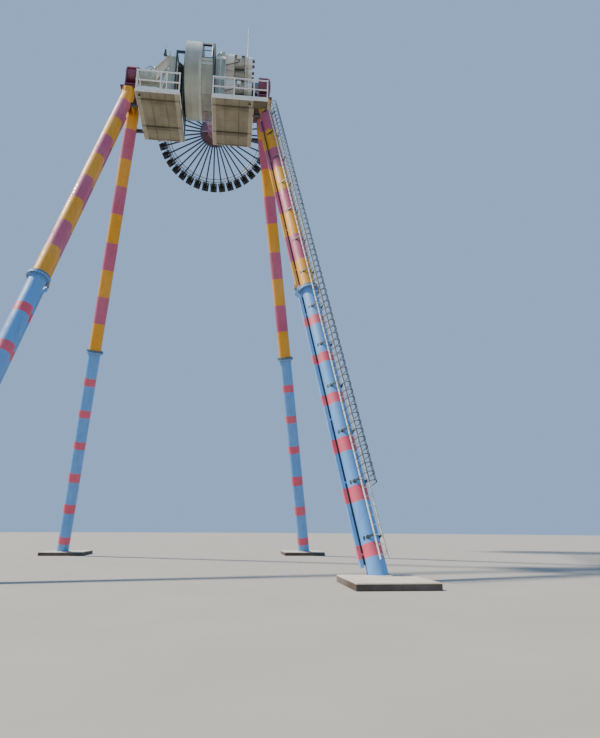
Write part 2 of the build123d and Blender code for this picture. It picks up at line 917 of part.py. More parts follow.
def head_cheek():
    """Right half of the head: hub, outer cheek and a cover with an open window."""
    width = drum_right_x - drum_seam_x
    cheek_x = drum_right_x - cheek_thickness
    cheek = cylinder_x(cheek_x, cheek_thickness, 0, axle_height, drum_radius)
    hub = cylinder_x(drum_seam_x, width, 0, axle_height, cheek_hub_radius)
    cover_radius = drum_radius - cover_step
    cover = cylinder_x(drum_seam_x, width, 0, axle_height, cover_radius)
    cover = cover - cylinder_x(drum_seam_x - 10, width + 20, 0, axle_height, cover_radius - drum_wall)
    window = drum_sector(drum_radius * 1.5, window_start, window_stop)
    cover = cover - extrude(on_side_plane(drum_seam_x - 10) * window, amount=width + 20)
    pieces = [cheek, hub, cover]
    for angle in (window_start + 22, window_start + 62):
        turn = math.radians(angle)
        y = (drum_radius - 60) * math.sin(turn)
        z = axle_height - (drum_radius - 60) * math.cos(turn)
        pieces.append(cylinder_x(drum_seam_x, width - 5, y, z, window_bar_radius))
    body = join(pieces)
    return body - cylinder_x(drum_seam_x - 10, width + 20, 0, axle_height, shaft_radius)


def arm_center_x():
    """Distance of the arm's centre line from the middle."""
    return (drum_left_x + drum_right_x) / 2


def arm_section(z, width):
    """Square section of the arm with cut corners."""
    square = Rectangle(width, width)
    return Plane(origin=(arm_center_x(), 0, z)) * chamfer(square.vertices(), width * arm_corner)


def arm():
    """Tapered box arm with stiffening bands."""
    top = axle_height - arm_root_distance
    low = axle_height - arm_tip_distance
    outer = loft([arm_section(top, arm_root_width), arm_section(low, arm_tip_width)], ruled=True)
    inside_root = arm_root_width - 2 * arm_wall
    inside_tip = arm_tip_width - 2 * arm_wall
    inner = loft([arm_section(top, inside_root), arm_section(low, inside_tip)], ruled=True)
    pieces = [outer - inner]
    for index in range(arm_bands):
        share = (index + 0.6) / arm_bands
        z = top + (low - top) * share
        width = arm_root_width + (arm_tip_width - arm_root_width) * share
        ring = arm_section(z, width + 2 * arm_band_step) - arm_section(z, width - arm_wall)
        pieces.append(extrude(ring, amount=arm_band_width))
    drum_clear = cylinder_x(drum_left_x - 10, drum_right_x - drum_left_x + 20, 0, axle_height, drum_radius)
    return join(pieces) - drum_clear


def arm_socket():
    """Finned end of the arm above the slewing bearing."""
    center_x = arm_center_x()
    top = axle_height - arm_tip_distance
    flange_low = axle_height - arm_length + hub_height + slew_height + slew_gap
    bottom = standing_cylinder(center_x, 0, flange_low, socket_radius, 70)
    stem_length = top - flange_low
    stem_radius = arm_tip_width * arm_stem_share
    stem = standing_cylinder(center_x, 0, flange_low, stem_radius, stem_length)
    pieces = [bottom, stem]
    fin_low = arm_tip_width * 0.4
    for index in range(socket_fins):
        fin = make_face(Polyline(
            (fin_low, 0), (socket_radius, 0), (socket_radius, 60), (stem_radius + 30, stem_length * 0.9),
            (fin_low, stem_length * 0.9), close=True))
        plane = Plane(origin=(center_x, 0, flange_low), x_dir=(1, 0, 0), z_dir=(0, -1, 0))
        solid = extrude(plane * fin, amount=fin_thickness / 2, both=True)
        pieces.append(solid.rotate(Axis((center_x, 0, 0), (0, 0, 1)), 360 * (index + 0.5) / socket_fins))
    slew_low = flange_low - slew_height
    pieces.append(standing_cylinder(center_x, 0, slew_low, slew_radius, slew_height))
    bore_radius = spindle_radius + bearing_clearance
    return join(pieces) - standing_cylinder(center_x, 0, slew_low - 10, bore_radius, spindle_length + 40)


# Gondola, drawn hanging and then swung

def gondola_center():
    """Centre of the gondola's wheel while the arm hangs."""
    return Vector(arm_center_x(), 0, axle_height - arm_length)


def around(shape, count):
    """Copies of a shape spaced evenly round the gondola's axis."""
    middle = gondola_center()
    spin = Axis((middle.X, middle.Y, 0), (0, 0, 1))
    return [shape.rotate(spin, 360 * index / count) for index in range(count)]


def hub():
    """Ribbed cone with a rim that takes the spokes and a drum below."""
    middle = gondola_center()
    rim = Pos(*middle) * Cylinder(hub_radius, hub_rim_height)
    rise = hub_height - hub_rim_height / 2
    cone = Pos(middle.X, middle.Y, middle.Z + hub_rim_height / 2) * Cone(
        hub_radius - 60, hub_top_radius, rise, align=(Align.CENTER, Align.CENTER, Align.MIN))
    drum = Pos(middle.X, middle.Y, middle.Z - hub_rim_height / 2) * Cylinder(
        hub_drum_radius, hub_drum_height, align=(Align.CENTER, Align.CENTER, Align.MAX))
    profile = make_face(Polyline(
        (hub_top_radius - 60, rise), (hub_top_radius, rise + hub_rib_rise * 0.2),
        (hub_radius - 20, hub_rib_rise), (hub_radius - 20, -20), (hub_top_radius - 60, -20), close=True))
    rim_top = (middle.X, middle.Y, middle.Z + hub_rim_height / 2)
    plane = Plane(origin=rim_top, x_dir=(1, 0, 0), z_dir=(0, -1, 0))
    rib = extrude(plane * profile, amount=hub_rib_width / 2, both=True)
    top_cut = Pos(middle.X, middle.Y, middle.Z + hub_height) * Cylinder(
        hub_radius, 400, align=(Align.CENTER, Align.CENTER, Align.MIN))
    well_depth = hub_drum_height + hub_rim_height + 10
    well = Pos(*rim_top) * Cylinder(
        hub_drum_radius - hub_wall, well_depth, align=(Align.CENTER, Align.CENTER, Align.MAX))
    cone_well = Pos(middle.X, middle.Y, middle.Z + hub_rim_height / 2 - 1) * Cone(
        hub_radius - 60 - hub_wall, hub_top_radius - hub_wall, rise - hub_wall,
        align=(Align.CENTER, Align.CENTER, Align.MIN))
    spindle = Pos(middle.X, middle.Y, middle.Z + hub_height - 1) * Cylinder(
        spindle_radius, spindle_length + 1, align=(Align.CENTER, Align.CENTER, Align.MIN))
    shell = join([rim, cone, drum] + around(rib, hub_ribs)) - top_cut - well - cone_well
    return shell + spindle


def spoke():
    """One tapered spoke from the rim to the outer ring."""
    middle = gondola_center()
    start = hub_radius + seat_gap
    profile = make_face(Polyline(
        (start, spoke_inner_depth / 2), (outer_ring_radius, spoke_outer_depth / 2),
        (outer_ring_radius, -spoke_outer_depth / 2), (start, -spoke_inner_depth / 2), close=True))
    plane = Plane(origin=middle, x_dir=(1, 0, 0), z_dir=(0, -1, 0))
    return extrude(plane * profile, amount=spoke_width / 2, both=True)


def ring(radius):
    """Ring tube of the gondola, made of one straight run for each seat bay."""
    middle = gondola_center()
    bend = radius / math.cos(math.pi / seat_count)
    pieces = []
    for index in range(seat_count):
        first = 2 * math.pi * (index + 0.5) / seat_count
        second = 2 * math.pi * (index + 1.5) / seat_count
        start = (middle.X + bend * math.cos(first), middle.Y + bend * math.sin(first), middle.Z)
        end = (middle.X + bend * math.cos(second), middle.Y + bend * math.sin(second), middle.Z)
        base = Plane(origin=start, x_dir=(0, 0, 1), z_dir=Vector(*end) - Vector(*start))
        run = (Vector(*end) - Vector(*start)).length
        pieces.append(extrude(base * RegularPolygon(ring_tube_radius, ring_sides), amount=run))
    return pieces


def spoke_wheel():
    """Spokes and both ring tubes as one welded wheel."""
    pieces = around(spoke(), seat_count)
    for radius in (ring_radius, outer_ring_radius):
        pieces += ring(radius)
    return join(pieces)


def seat_back():
    """Back shell with side wings, head rest and the hanger to the ring."""
    low = -seat_pan_drop
    half = seat_width / 2
    shoulder = low + seat_back_height * seat_shoulder_share
    top = low + seat_back_height
    outline = make_face(Polyline(
        (-half, low), (half, low), (half, shoulder), (half * 0.6, top), (-half * 0.6, top), (-half, shoulder),
        close=True))
    middle = gondola_center()
    plane = Plane(origin=(middle.X + seat_back_radius, 0, middle.Z), x_dir=(0, 1, 0), z_dir=(1, 0, 0))
    back = extrude(plane * outline, amount=seat_back_thickness)
    pieces = [back]
    for sign in (-1, 1):
        wing = make_face(Polyline(
            (seat_back_thickness, low), (seat_back_thickness + seat_wing_depth, low + 60),
            (seat_back_thickness + seat_wing_depth, low + seat_back_height * 0.5),
            (seat_back_thickness, shoulder), (0, shoulder), (0, low), close=True))
        y = sign * (seat_width / 2 - seat_wing_thickness / 2)
        corner = (middle.X + seat_back_radius, y, middle.Z)
        wing_plane = Plane(origin=corner, x_dir=(1, 0, 0), z_dir=(0, -1, 0))
        pieces.append(extrude(wing_plane * wing, amount=seat_wing_thickness / 2, both=True))
    ring_flat = ring_tube_radius * math.cos(math.pi / ring_sides)
    hanger_low = middle.X + outer_ring_radius + ring_flat + seat_gap
    pieces.append(block(hanger_low, middle.X + seat_back_radius + 10, -60, 60, middle.Z - 60, middle.Z + 60))
    return join(pieces)


def seat_pan():
    """Moulded pan with a raised front horn and rounded lip."""
    middle = gondola_center()
    low = middle.Z - seat_pan_drop - seat_pan_thickness
    top = low + seat_pan_thickness
    start = seat_back_radius
    depth = seat_pan_depth
    profile = make_face(Polyline(
        (start, low), (start, top - seat_gap), (start + depth * 0.5, top - 30),
        (start + depth * 0.9, top + 20), (start + depth, top - 30), (start + depth * 0.96, low + 20),
        (start + depth * 0.6, low), close=True))
    plane = Plane(origin=(middle.X, 0, 0), x_dir=(1, 0, 0), z_dir=(0, -1, 0))
    return extrude(plane * profile, amount=(seat_width - 20) / 2, both=True)


def restraint():
    """Closed shoulder bar: two tubes over the shoulders and a chest pad."""
    middle = gondola_center()
    low = -seat_pan_drop
    start_x = middle.X + seat_back_radius + seat_back_thickness
    reach_x = middle.X + seat_back_radius + restraint_reach
    top = middle.Z + low + seat_back_height * 0.8
    chest = middle.Z + low + 300
    elbow = restraint_radius * 1.7
    pieces = []
    for sign in (-1, 1):
        y = sign * restraint_half_width
        points = [(start_x - 40, y, top), (reach_x - 60, y, top + 60)]
        points += [(reach_x, y, top - 100), (reach_x, y, chest)]
        for start, end in zip(points, points[1:]):
            pieces.append(rod(start, end, restraint_radius, 6))
        for spot in points[1:-1]:
            pieces.append(Pos(*spot) * Box(elbow, elbow, elbow))
    pad_half = restraint_half_width + 50
    pieces.append(block(reach_x - 50, reach_x + 40, -pad_half, pad_half, chest - 60, chest + 200))
    behind = block(start_x - 500, start_x + seat_gap, -seat_width, seat_width, top - 500, top + 500)
    return join(pieces) - behind


def write(shape, name):
    """Write one named piece."""
    if isinstance(shape, list):
        shape = Compound(children=shape)
    shape.label = name
    export_step(shape, f"parts/{name}.step")


def write_towers():
    """Footings, legs, heads and bearings."""
    for side_name, side in tower_sides.items():
        for end_name, end in tower_ends.items():
            write(plinth(side, end), f"plinth_{end_name}_{side_name}")
            write(leg_lower(side, end), f"leg_lower_{end_name}_{side_name}")
            write(leg_upper(side, end), f"leg_upper_{end_name}_{side_name}")
        write(tower_head(side), f"tower_head_{side_name}")
        write(bearing_box(side), f"bearing_box_{side_name}")
        write([tie_bracket(side, end) for end in tower_ends.values()], f"platform_ties_{side_name}")
        write(platform(side), f"platform_tray_{side_name}")
        write(deck(side), f"platform_deck_{side_name}")
        write(railing(side), f"railing_{side_name}")
        write(duct(side), f"cable_duct_{side_name}")


def write_fittings():
    """Ladder and drives."""
    write(ladder(), "ladder")
    write(ladder_cage(), "ladder_cage")
    write(ladder_brackets(), "ladder_brackets")
    write(right_gearbox(), "gear_case_right")
    write(drive_motors(motor_upper_z), "drive_motors_upper")
    write(drive_motors(motor_lower_z), "drive_motors_lower")
    write(left_gearbox(), "gear_case_left")
    write(left_braces(), "brace_plates_left")
    write(left_sleeve(), "shaft_sleeve_left")
    write(pipe_frame(), "cable_frame_left")
    write(beacon(), "beacon_lamp")
    write(lightning_mast(), "lightning_mast")


def write_pendulum():
    """Shaft, head, arm and the finned end."""
    write(main_shaft(), "main_shaft")
    write(swing(head_drum()), "head_drum")
    write(swing(head_cheek()), "head_cheek")
    write(swing(arm()), "arm")
    write(swing(arm_socket()), "arm_socket")


def write_gondola():
    """Hub, wheel and the seats."""
    write(swing(hub()), "gondola_hub")
    write(swing(spoke_wheel()), "spoke_wheel")
    write([swing(piece) for piece in around(seat_back(), seat_count)], "seat_backs")
    write([swing(piece) for piece in around(seat_pan(), seat_count)], "seat_pans")
    write([swing(piece) for piece in around(restraint(), seat_count)], "seat_restraints")


os.makedirs("parts", exist_ok=True)
write_towers()
write_fittings()
write_pendulum()
write_gondola()
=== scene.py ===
import json
import math
from itertools import product

import bmesh
import bpy
from mathutils import Matrix, Vector


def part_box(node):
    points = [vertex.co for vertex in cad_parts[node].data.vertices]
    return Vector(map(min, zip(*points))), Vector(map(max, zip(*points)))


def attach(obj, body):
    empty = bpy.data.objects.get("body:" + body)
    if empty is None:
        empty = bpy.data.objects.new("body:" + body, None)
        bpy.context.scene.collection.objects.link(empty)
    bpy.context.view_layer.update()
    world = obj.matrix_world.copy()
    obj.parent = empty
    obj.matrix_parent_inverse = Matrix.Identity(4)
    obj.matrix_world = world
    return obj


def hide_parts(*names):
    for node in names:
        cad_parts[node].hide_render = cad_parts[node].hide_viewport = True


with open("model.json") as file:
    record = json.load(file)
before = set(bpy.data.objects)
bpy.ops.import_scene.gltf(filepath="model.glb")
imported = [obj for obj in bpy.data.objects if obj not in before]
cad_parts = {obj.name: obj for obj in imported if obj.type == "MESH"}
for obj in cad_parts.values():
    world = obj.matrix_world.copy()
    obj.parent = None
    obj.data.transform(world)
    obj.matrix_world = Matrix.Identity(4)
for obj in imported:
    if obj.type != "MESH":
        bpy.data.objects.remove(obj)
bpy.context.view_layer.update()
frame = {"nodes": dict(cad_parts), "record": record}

bl_info = {
    "name": "Pendulum ride finish",
    "version": (1, 0, 0),
    "blender": (4, 5, 0),
    "location": "3D View > Sidebar > Ride",
    "description": "Paint, fastenings, seats and light for a fairground pendulum ride",
    "category": "Object",
}

# Metres. X runs along the main shaft to the right, Y to the rear, Z up.
UP = (0, 0, 1)
BOTH = (-1, 1)
SIDES = {"left": -1, "right": 1}
# Legs: the middle of a footing's top, the point where two legs' lines meet, and heights along a leg.
FOOT = Vector((6.63, 8.71, 0.2))
MEETING = Vector((3.13, 0.23, 23.5))
LEG_LINE = (MEETING - FOOT).normalized()
LEG_RADIUS = 0.31
FLANGE_AT = 11.07
ELBOW_AT = (22.02 - FOOT.z) / LEG_LINE.z - 0.69
HEAD_PLATE_X = 3.27
HEAD_PLATE_Z = 22.4
# Ladder: degrees round the leg, distance out from its line, half width, and the rows along the leg.
LADDER_TURN = -64
LADDER_OUT = LEG_RADIUS + 0.15
LADDER_HALF = 0.15
CAGE_FIRST = 2.6
CAGE_HOOPS = 68
BRACKET_FIRST = 1.08
BRACKET_PITCH = 1.8
BRACKETS = 13
# Main shaft, its bearings, and the turn from the hanging arm to the raised one.
AXLE = Vector((0, 0, 23.8))
HANGING = Vector((0.095, 0, 4.2))
SWING = Matrix.Translation(AXLE) @ Matrix.Rotation(math.radians(119), 4, "X") @ Matrix.Translation(-AXLE)
DRUM_UP = SWING.to_3x3().inverted() @ Vector(UP)
HOUSING_X = 3.33
HOUSING_OUTER = 3.61
SHAFT_END = 3.67
# Platforms.
TRAY_LOW = 21.32
STEP_LOW = 21.35
DECK_TOP = 21.47
FRONT_Y = -2.05
REAR_Y = 1.6
NEAR_EDGE = {"left": 0.73, "right": 0.8}
FAR_EDGE = 2.78
STEP_EDGE = 3.47
STEP_REAR = -1.51
# Drives and cable frame.
CASE_X = 0.84
CASE_SIDE = 1.32
MOTOR_ROWS = (1.06, -0.48)
MOTOR_Y = 0.43
FRAME_X = -0.695
# Drum: its window lies between two angles round from straight down.
DRUM_RADIUS = 1.87
COVER_RADIUS = DRUM_RADIUS - 0.03
DRUM_LEFT = -0.6
DRUM_SEAM = 0.21
DRUM_RIGHT = 0.79
DRUM_ENDS = ((DRUM_LEFT, -1), (DRUM_RIGHT, 1))
WINDOW = (48, 152)
# Gondola.
SEATS = 40
SEAT_RADIUS = 4.08
SEAT_HALF = 0.28
RINGS = (3.74, 3.96)
# Camera: its place, and its pitch, yaw and roll in degrees.
EYE = Vector((2.204, -26.725, 1.561))
EYE_TURN = (14.756, 6.67, 0.296)
BLEND = {"data_type": "RGBA"}
FASTENER = ("fastener", "dark_steel")
finish = {}


def linear(code):
    """sRGB hex to the linear colour that the shaders take."""
    parts = [int(code[i:i + 2], 16) / 255 for i in (1, 3, 5)]
    return tuple(p / 12.92 if p <= 0.04045 else ((p + 0.055) / 1.055) ** 2.4 for p in parts)


def swatch(code, name, description):
    """Colour setting from a hex value."""
    return bpy.props.FloatVectorProperty(
        name=name, description=description, subtype="COLOR", size=3, min=0, max=1, default=linear(code))


def length(metres, name, description):
    """Length setting in metres."""
    return bpy.props.FloatProperty(
        name=name, description=description, default=metres, min=0.001, unit="LENGTH", subtype="DISTANCE")


class PaintSettings(bpy.types.PropertyGroup):
    """Colours of the painted steel."""

    yellow: swatch("#de9a00", "Yellow", "Yellow bands of the upper legs")
    pink: swatch("#bb5678", "Pink", "Pink bands of the upper legs")
    blue: swatch("#5f9fdf", "Blue", "Ground colour of the lower legs")
    rose: swatch("#d8546e", "Rose", "Stripes on the blue legs")
    flange: swatch("#2f6580", "Flange", "Bolted rings halfway up")
    maroon: swatch("#84344f", "Maroon", "Bearing boxes")
    drum: swatch("#e4e8e6", "Drum", "Cover of the pendulum head")
    motor: swatch("#f0eee4", "Motor", "Gear motors")
    rail: swatch("#f7f4ee", "Rail", "Guard rails and platform edges")
    # The tray's olive grey is painted shade, darker than the paint itself.
    tray: swatch("#7b7765", "Tray", "Underside of the platforms")


class SizeSettings(bpy.types.PropertyGroup):
    """Sizes of the added pieces."""

    bolt: length(0.027, "Bolt", "Half the width of a flange bolt's head")
    stripe: length(0.45, "Stripe", "Height of a rose stripe along the leg")
    stripe_pitch: length(1.745, "Stripe pitch", "From one rose stripe to the next")
    hoop_pitch: length(0.3, "Hoop pitch", "From one cage hoop to the next")
    rivet: length(0.009, "Rivet", "Half the width of a rivet's head")
    lens: bpy.props.FloatProperty(
        name="Lens", description="Focal length of the camera", default=29.27, min=10, unit="CAMERA")


def paint():
    return bpy.context.scene.ride_paint


def sizes():
    return bpy.context.scene.ride_sizes


# Building meshes

def blank(count):
    """Empty meshes to build in."""
    return [bmesh.new() for _ in range(count)]


def at(x, y, z):
    """Shift by x, y and z."""
    return Matrix.Translation((x, y, z))


def spun(degrees, axis="Z"):
    """Turn about an axis."""
    return Matrix.Rotation(math.radians(degrees), 4, axis)


def placed(origin, line=UP, across=None):
    """Placement whose Z runs along a line."""
    z = Vector(line).normalized()
    x = Vector(across or ((0, 1, 0) if abs(z.y) < 0.9 else (1, 0, 0)))
    x = (x - z * x.dot(z)).normalized()
    return Matrix.Translation(Vector(origin)) @ Matrix((x, z.cross(x), z)).transposed().to_4x4()


# The drum's axis: Z along the shaft, X straight down from it.
DRUM_AXIS = placed(AXLE, (1, 0, 0), (0, 0, -1))


def leg_spot(side, end, distance, turn=0):
    """Placement on a leg's centre line, Z up the leg and X out of the tube."""
    line = Vector((LEG_LINE.x * side, LEG_LINE.y * end, LEG_LINE.z))
    origin = Vector((FOOT.x * side, FOOT.y * end, FOOT.z)) + line * distance
    return placed(origin, line, (math.cos(math.radians(turn)), math.sin(math.radians(turn)), 0))


def bar(bm, start, end, radius, sides=10, far_radius=None):
    """Round bar between two points."""
    start, end = Vector(start), Vector(end)
    bmesh.ops.create_cone(bm, cap_ends=True, segments=sides, radius1=radius, radius2=far_radius or radius,
                          depth=(end - start).length, matrix=placed((start + end) / 2, end - start))


def brick(bm, size, spot, ease=0.0, segments=1):
    """Box of a size about a placement, with its edges eased."""
    made = bmesh.ops.create_cube(bm, size=1, matrix=spot @ Matrix.Diagonal((*size, 1)))
    if ease:
        edges = list({e for v in made["verts"] for e in v.link_edges})
        bmesh.ops.bevel(bm, geom=edges, offset=ease, offset_type="OFFSET", affect="EDGES",
                        segments=segments, profile=0.5, material=-1)


def slab(bm, one, other, ease=0.0, segments=1):
    """Box between two opposite corners."""
    low, high = (Vector(map(pick, one, other)) for pick in (min, max))
    brick(bm, high - low, Matrix.Translation((low + high) / 2), ease, segments)


def turned(bm, outline, spot, steps=48, closed=True):
    """Spin an outline of (radius, height) points round a placement's Z."""
    points = [bm.verts.new(spot @ Vector((r, 0, h))) for r, h in outline]
    pairs = list(zip(points, points[1:])) + ([(points[-1], points[0])] if closed else [])
    edges = [bm.edges.new(pair) for pair in pairs]
    bmesh.ops.spin(bm, geom=points + edges, cent=spot.translation, axis=spot.to_3x3() @ Vector(UP),
                   angle=2 * math.pi, steps=steps, use_merge=True, use_normal_flip=False, use_duplicate=False)


def band(bm, inner, outer, low, high, spot, steps=48):
    """Flat ring round a placement's Z."""
    turned(bm, [(inner, low), (outer, low), (outer, high), (inner, high)], spot, steps)


def bolt(bm, origin, line, size, height):
    """One hexagon head on its washer."""
    foot, up = Vector(origin), Vector(line).normalized()
    bar(bm, foot - up * 0.004, foot + up * height * 0.25, size * 1.35, 10)
    bar(bm, foot, foot + up * height, size, 6)


def bolts(bm, spot, radius, count, size, height):
    """Hexagon heads round a circle on a placement."""
    for index in range(count):
        angle = 2 * math.pi * (index + 0.5) / count
        head = Vector((radius * math.cos(angle), radius * math.sin(angle), 0))
        bolt(bm, spot @ head, spot.to_3x3() @ Vector(UP), size, height)


def studs(bm, xs, ys, zs, line, size, height):
    """Hexagon heads in rows, one wherever an x, a y and a z cross."""
    for spot in product(xs, ys, zs):
        bolt(bm, spot, line, size, height)


def softened(points, reach, steps=4):
    """Path with its corners rounded."""
    points = [Vector(p) for p in points]
    path = [points[0]]
    for before, corner, after in zip(points, points[1:], points[2:]):
        start = corner + (before - corner).normalized() * min(reach, (before - corner).length / 2)
        end = corner + (after - corner).normalized() * min(reach, (after - corner).length / 2)
        for step in range(steps + 1):
            t = step / steps
            path.append(start * (1 - t) ** 2 + corner * 2 * t * (1 - t) + end * t ** 2)
    return path + [points[-1]]


def piped(bm, path, radius, sides=10):
    """Round tube along a path, its ends closed."""
    loops = []
    last = len(path) - 1
    for index, point in enumerate(path):
        line = path[min(index + 1, last)] - path[max(index - 1, 0)]
        made = bmesh.ops.create_circle(bm, cap_ends=index in (0, last), segments=sides, radius=radius,
                                       matrix=placed(point, line, (0.31, 0.17, 0.94)))
        loops.append(list({e for v in made["verts"] for e in v.link_edges}))
    for near, far in zip(loops, loops[1:]):
        bmesh.ops.bridge_loops(bm, edges=near + far)


def pillow(bm, size, spot, cuts=3, rounds=2):
    """Crowned pad: a box divided and relaxed so its corners draw in."""
    own = bmesh.new()
    bmesh.ops.create_cube(own, size=1, matrix=Matrix.Diagonal((*size, 1)))
    bmesh.ops.subdivide_edges(own, edges=own.edges, cuts=cuts, use_grid_fill=True)
    for _ in range(rounds):
        bmesh.ops.smooth_vert(own, verts=own.verts, factor=0.5, use_axis_x=True, use_axis_y=True, use_axis_z=True)
    bmesh.ops.transform(own, matrix=spot, verts=own.verts)
    mesh = bpy.data.meshes.new("pad")
    own.to_mesh(mesh)
    own.free()
    bm.from_mesh(mesh)
    bpy.data.meshes.remove(mesh)


def publish(bm, name, slot, body="frame", smooth=40, swung=True, replaces=()):
    """Turn a bmesh into a finished piece that rides on a body. A slot may name its own finish first."""
    look, slot = (slot, slot) if isinstance(slot, str) else slot
    if swung and body != "frame":
        bmesh.ops.transform(bm, matrix=SWING, verts=bm.verts)
    bmesh.ops.remove_doubles(bm, verts=bm.verts, dist=0.0001)
    bmesh.ops.recalc_face_normals(bm, faces=bm.faces)
    mesh = bpy.data.meshes.new(name)
    bm.to_mesh(mesh)
    bm.free()
    mesh.materials.append(finish[look])
    for face in mesh.polygons:
        face.use_smooth = True
    mesh.set_sharp_from_angle(angle=math.radians(smooth))
    piece = bpy.data.objects.new(name, mesh)
    bpy.context.scene.collection.objects.link(piece)
    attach(piece, body)
    if replaces:
        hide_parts(*replaces)
    return piece


# Finishes

def add(tree, kind, settings=None, feeds=None):
    """Add a node with its settings, feeding its sockets from values or other sockets."""
    made = tree.nodes.new("ShaderNode" + kind)
    for name, value in (settings or {}).items():
        setattr(made, name, value)
    for socket, value in (feeds or {}).items():
        if isinstance(value, bpy.types.NodeSocket):
            tree.links.new(value, made.inputs[socket])
        else:
            if isinstance(value, tuple) and len(value) == 3 and made.inputs[socket].type == "RGBA":
                value = (*value, 1)
            made.inputs[socket].default_value = value
    return made


def place(tree, turned_with_arm=False, scale=(1, 1, 1)):
    """Object coordinates, or for the arm's pieces the coordinates of the hanging arm."""
    coords = add(tree, "TexCoord").outputs["Object"]
    if turned_with_arm:
        back = SWING.inverted()
        coords = add(tree, "Mapping", None, {
            0: coords, "Location": back.translation, "Rotation": tuple(back.to_euler())}).outputs[0]
    if scale != (1, 1, 1):
        coords = add(tree, "Mapping", None, {0: coords, "Scale": scale}).outputs[0]
    return coords


def coated(name, base, roughness, metallic=0.0, fade=("#ffffff", 0.12, 2.2), dirt=("#4c463c", 0.3),
           streak=(7, 7, 0.45), wear=None, grain=60.0, bump=0.12, coat=0.0, arm=False):
    """Painted or bare metal: cloudy fading, dirt that runs down, worn edges and a slightly uneven skin."""
    material = bpy.data.materials.new(name)
    material.use_nodes = True
    tree = material.node_tree
    tree.nodes.clear()
    here = place(tree, arm)
    colour = base(tree, here) if callable(base) else base
    cloud = add(tree, "TexNoise", None, {"Vector": here, "Scale": 1 / fade[2], "Detail": 5.0, "Roughness": 0.6})
    cloudy = add(tree, "MapRange", None, {0: cloud.outputs[0], 1: 0.4, 2: 0.7, 3: 0.0, 4: fade[1]})
    faded = add(tree, "Mix", BLEND, {0: cloudy.outputs[0], 6: colour, 7: linear(fade[0])})
    runs = add(tree, "TexNoise", None, {"Vector": place(tree, arm, streak), "Scale": 1.0, "Detail": 4.0,
                                        "Roughness": 0.65})
    run_mask = add(tree, "MapRange", None, {0: runs.outputs[0], 1: 0.48, 2: 0.75, 3: 0.0, 4: dirt[1]})
    soiled = add(tree, "Mix", BLEND, {0: run_mask.outputs[0], 6: faded.outputs[2], 7: linear(dirt[0])})
    top = soiled.outputs[2]
    fine = add(tree, "TexNoise", None, {"Vector": here, "Scale": grain, "Detail": 3.0, "Roughness": 0.6})
    if wear:
        flat = add(tree, "NewGeometry").outputs["Normal"]
        eased = add(tree, "Bevel", {"samples": 4}, {"Radius": 0.012}).outputs[0]
        turn = add(tree, "VectorMath", {"operation": "DOT_PRODUCT"}, {0: flat, 1: eased}).outputs["Value"]
        edge = add(tree, "MapRange", None, {0: turn, 1: 0.97, 2: 0.86, 3: 0.0, 4: 0.75}).outputs[0]
        patchy = add(tree, "TexNoise", None, {"Vector": here, "Scale": 9.0, "Detail": 6.0, "Roughness": 0.75})
        chips = add(tree, "MapRange", None, {0: patchy.outputs[0], 1: 0.5, 2: 0.6, 3: 0.0, 4: 1.0}).outputs[0]
        mask = add(tree, "Math", {"operation": "MULTIPLY"}, {0: edge, 1: chips}).outputs[0]
        top = add(tree, "Mix", BLEND, {0: mask, 6: top, 7: linear(wear)}).outputs[2]
    shine = add(tree, "MapRange", None, {
        0: runs.outputs[0], 1: 0.3, 2: 0.75, 3: roughness - 0.08, 4: roughness + 0.2})
    uneven = add(tree, "Bump", None, {"Height": fine.outputs[0], "Strength": bump, "Distance": 0.004})
    shader = add(tree, "BsdfPrincipled", None, {
        "Base Color": top, "Roughness": shine.outputs[0], "Metallic": metallic, "Normal": uneven.outputs[0]})
    if coat:
        shader.inputs["Coat Weight"].default_value = coat
    add(tree, "OutputMaterial", None, {"Surface": shader.outputs[0]})
    return material


def above(tree, here, axis, limit, low, high):
    """One colour below a height or distance and another past it."""
    value = add(tree, "SeparateXYZ", None, {0: here}).outputs[axis]
    past = add(tree, "Math", {"operation": "GREATER_THAN"}, {0: value, 1: limit}).outputs[0]
    return add(tree, "Mix", BLEND, {0: past, 6: low, 7: high}).outputs[2]


def stripe(tree, value, middle, half, amount, under, over):
    """A colour over another, up to half a width either side of a middle value."""
    near = add(tree, "Math", {"operation": "COMPARE"}, {0: value, 1: middle, 2: half}).outputs[0]
    soft = add(tree, "Math", {"operation": "MULTIPLY"}, {0: near, 1: amount}).outputs[0]
    return add(tree, "Mix", BLEND, {0: soft, 6: under, 7: linear(over)}).outputs[2]


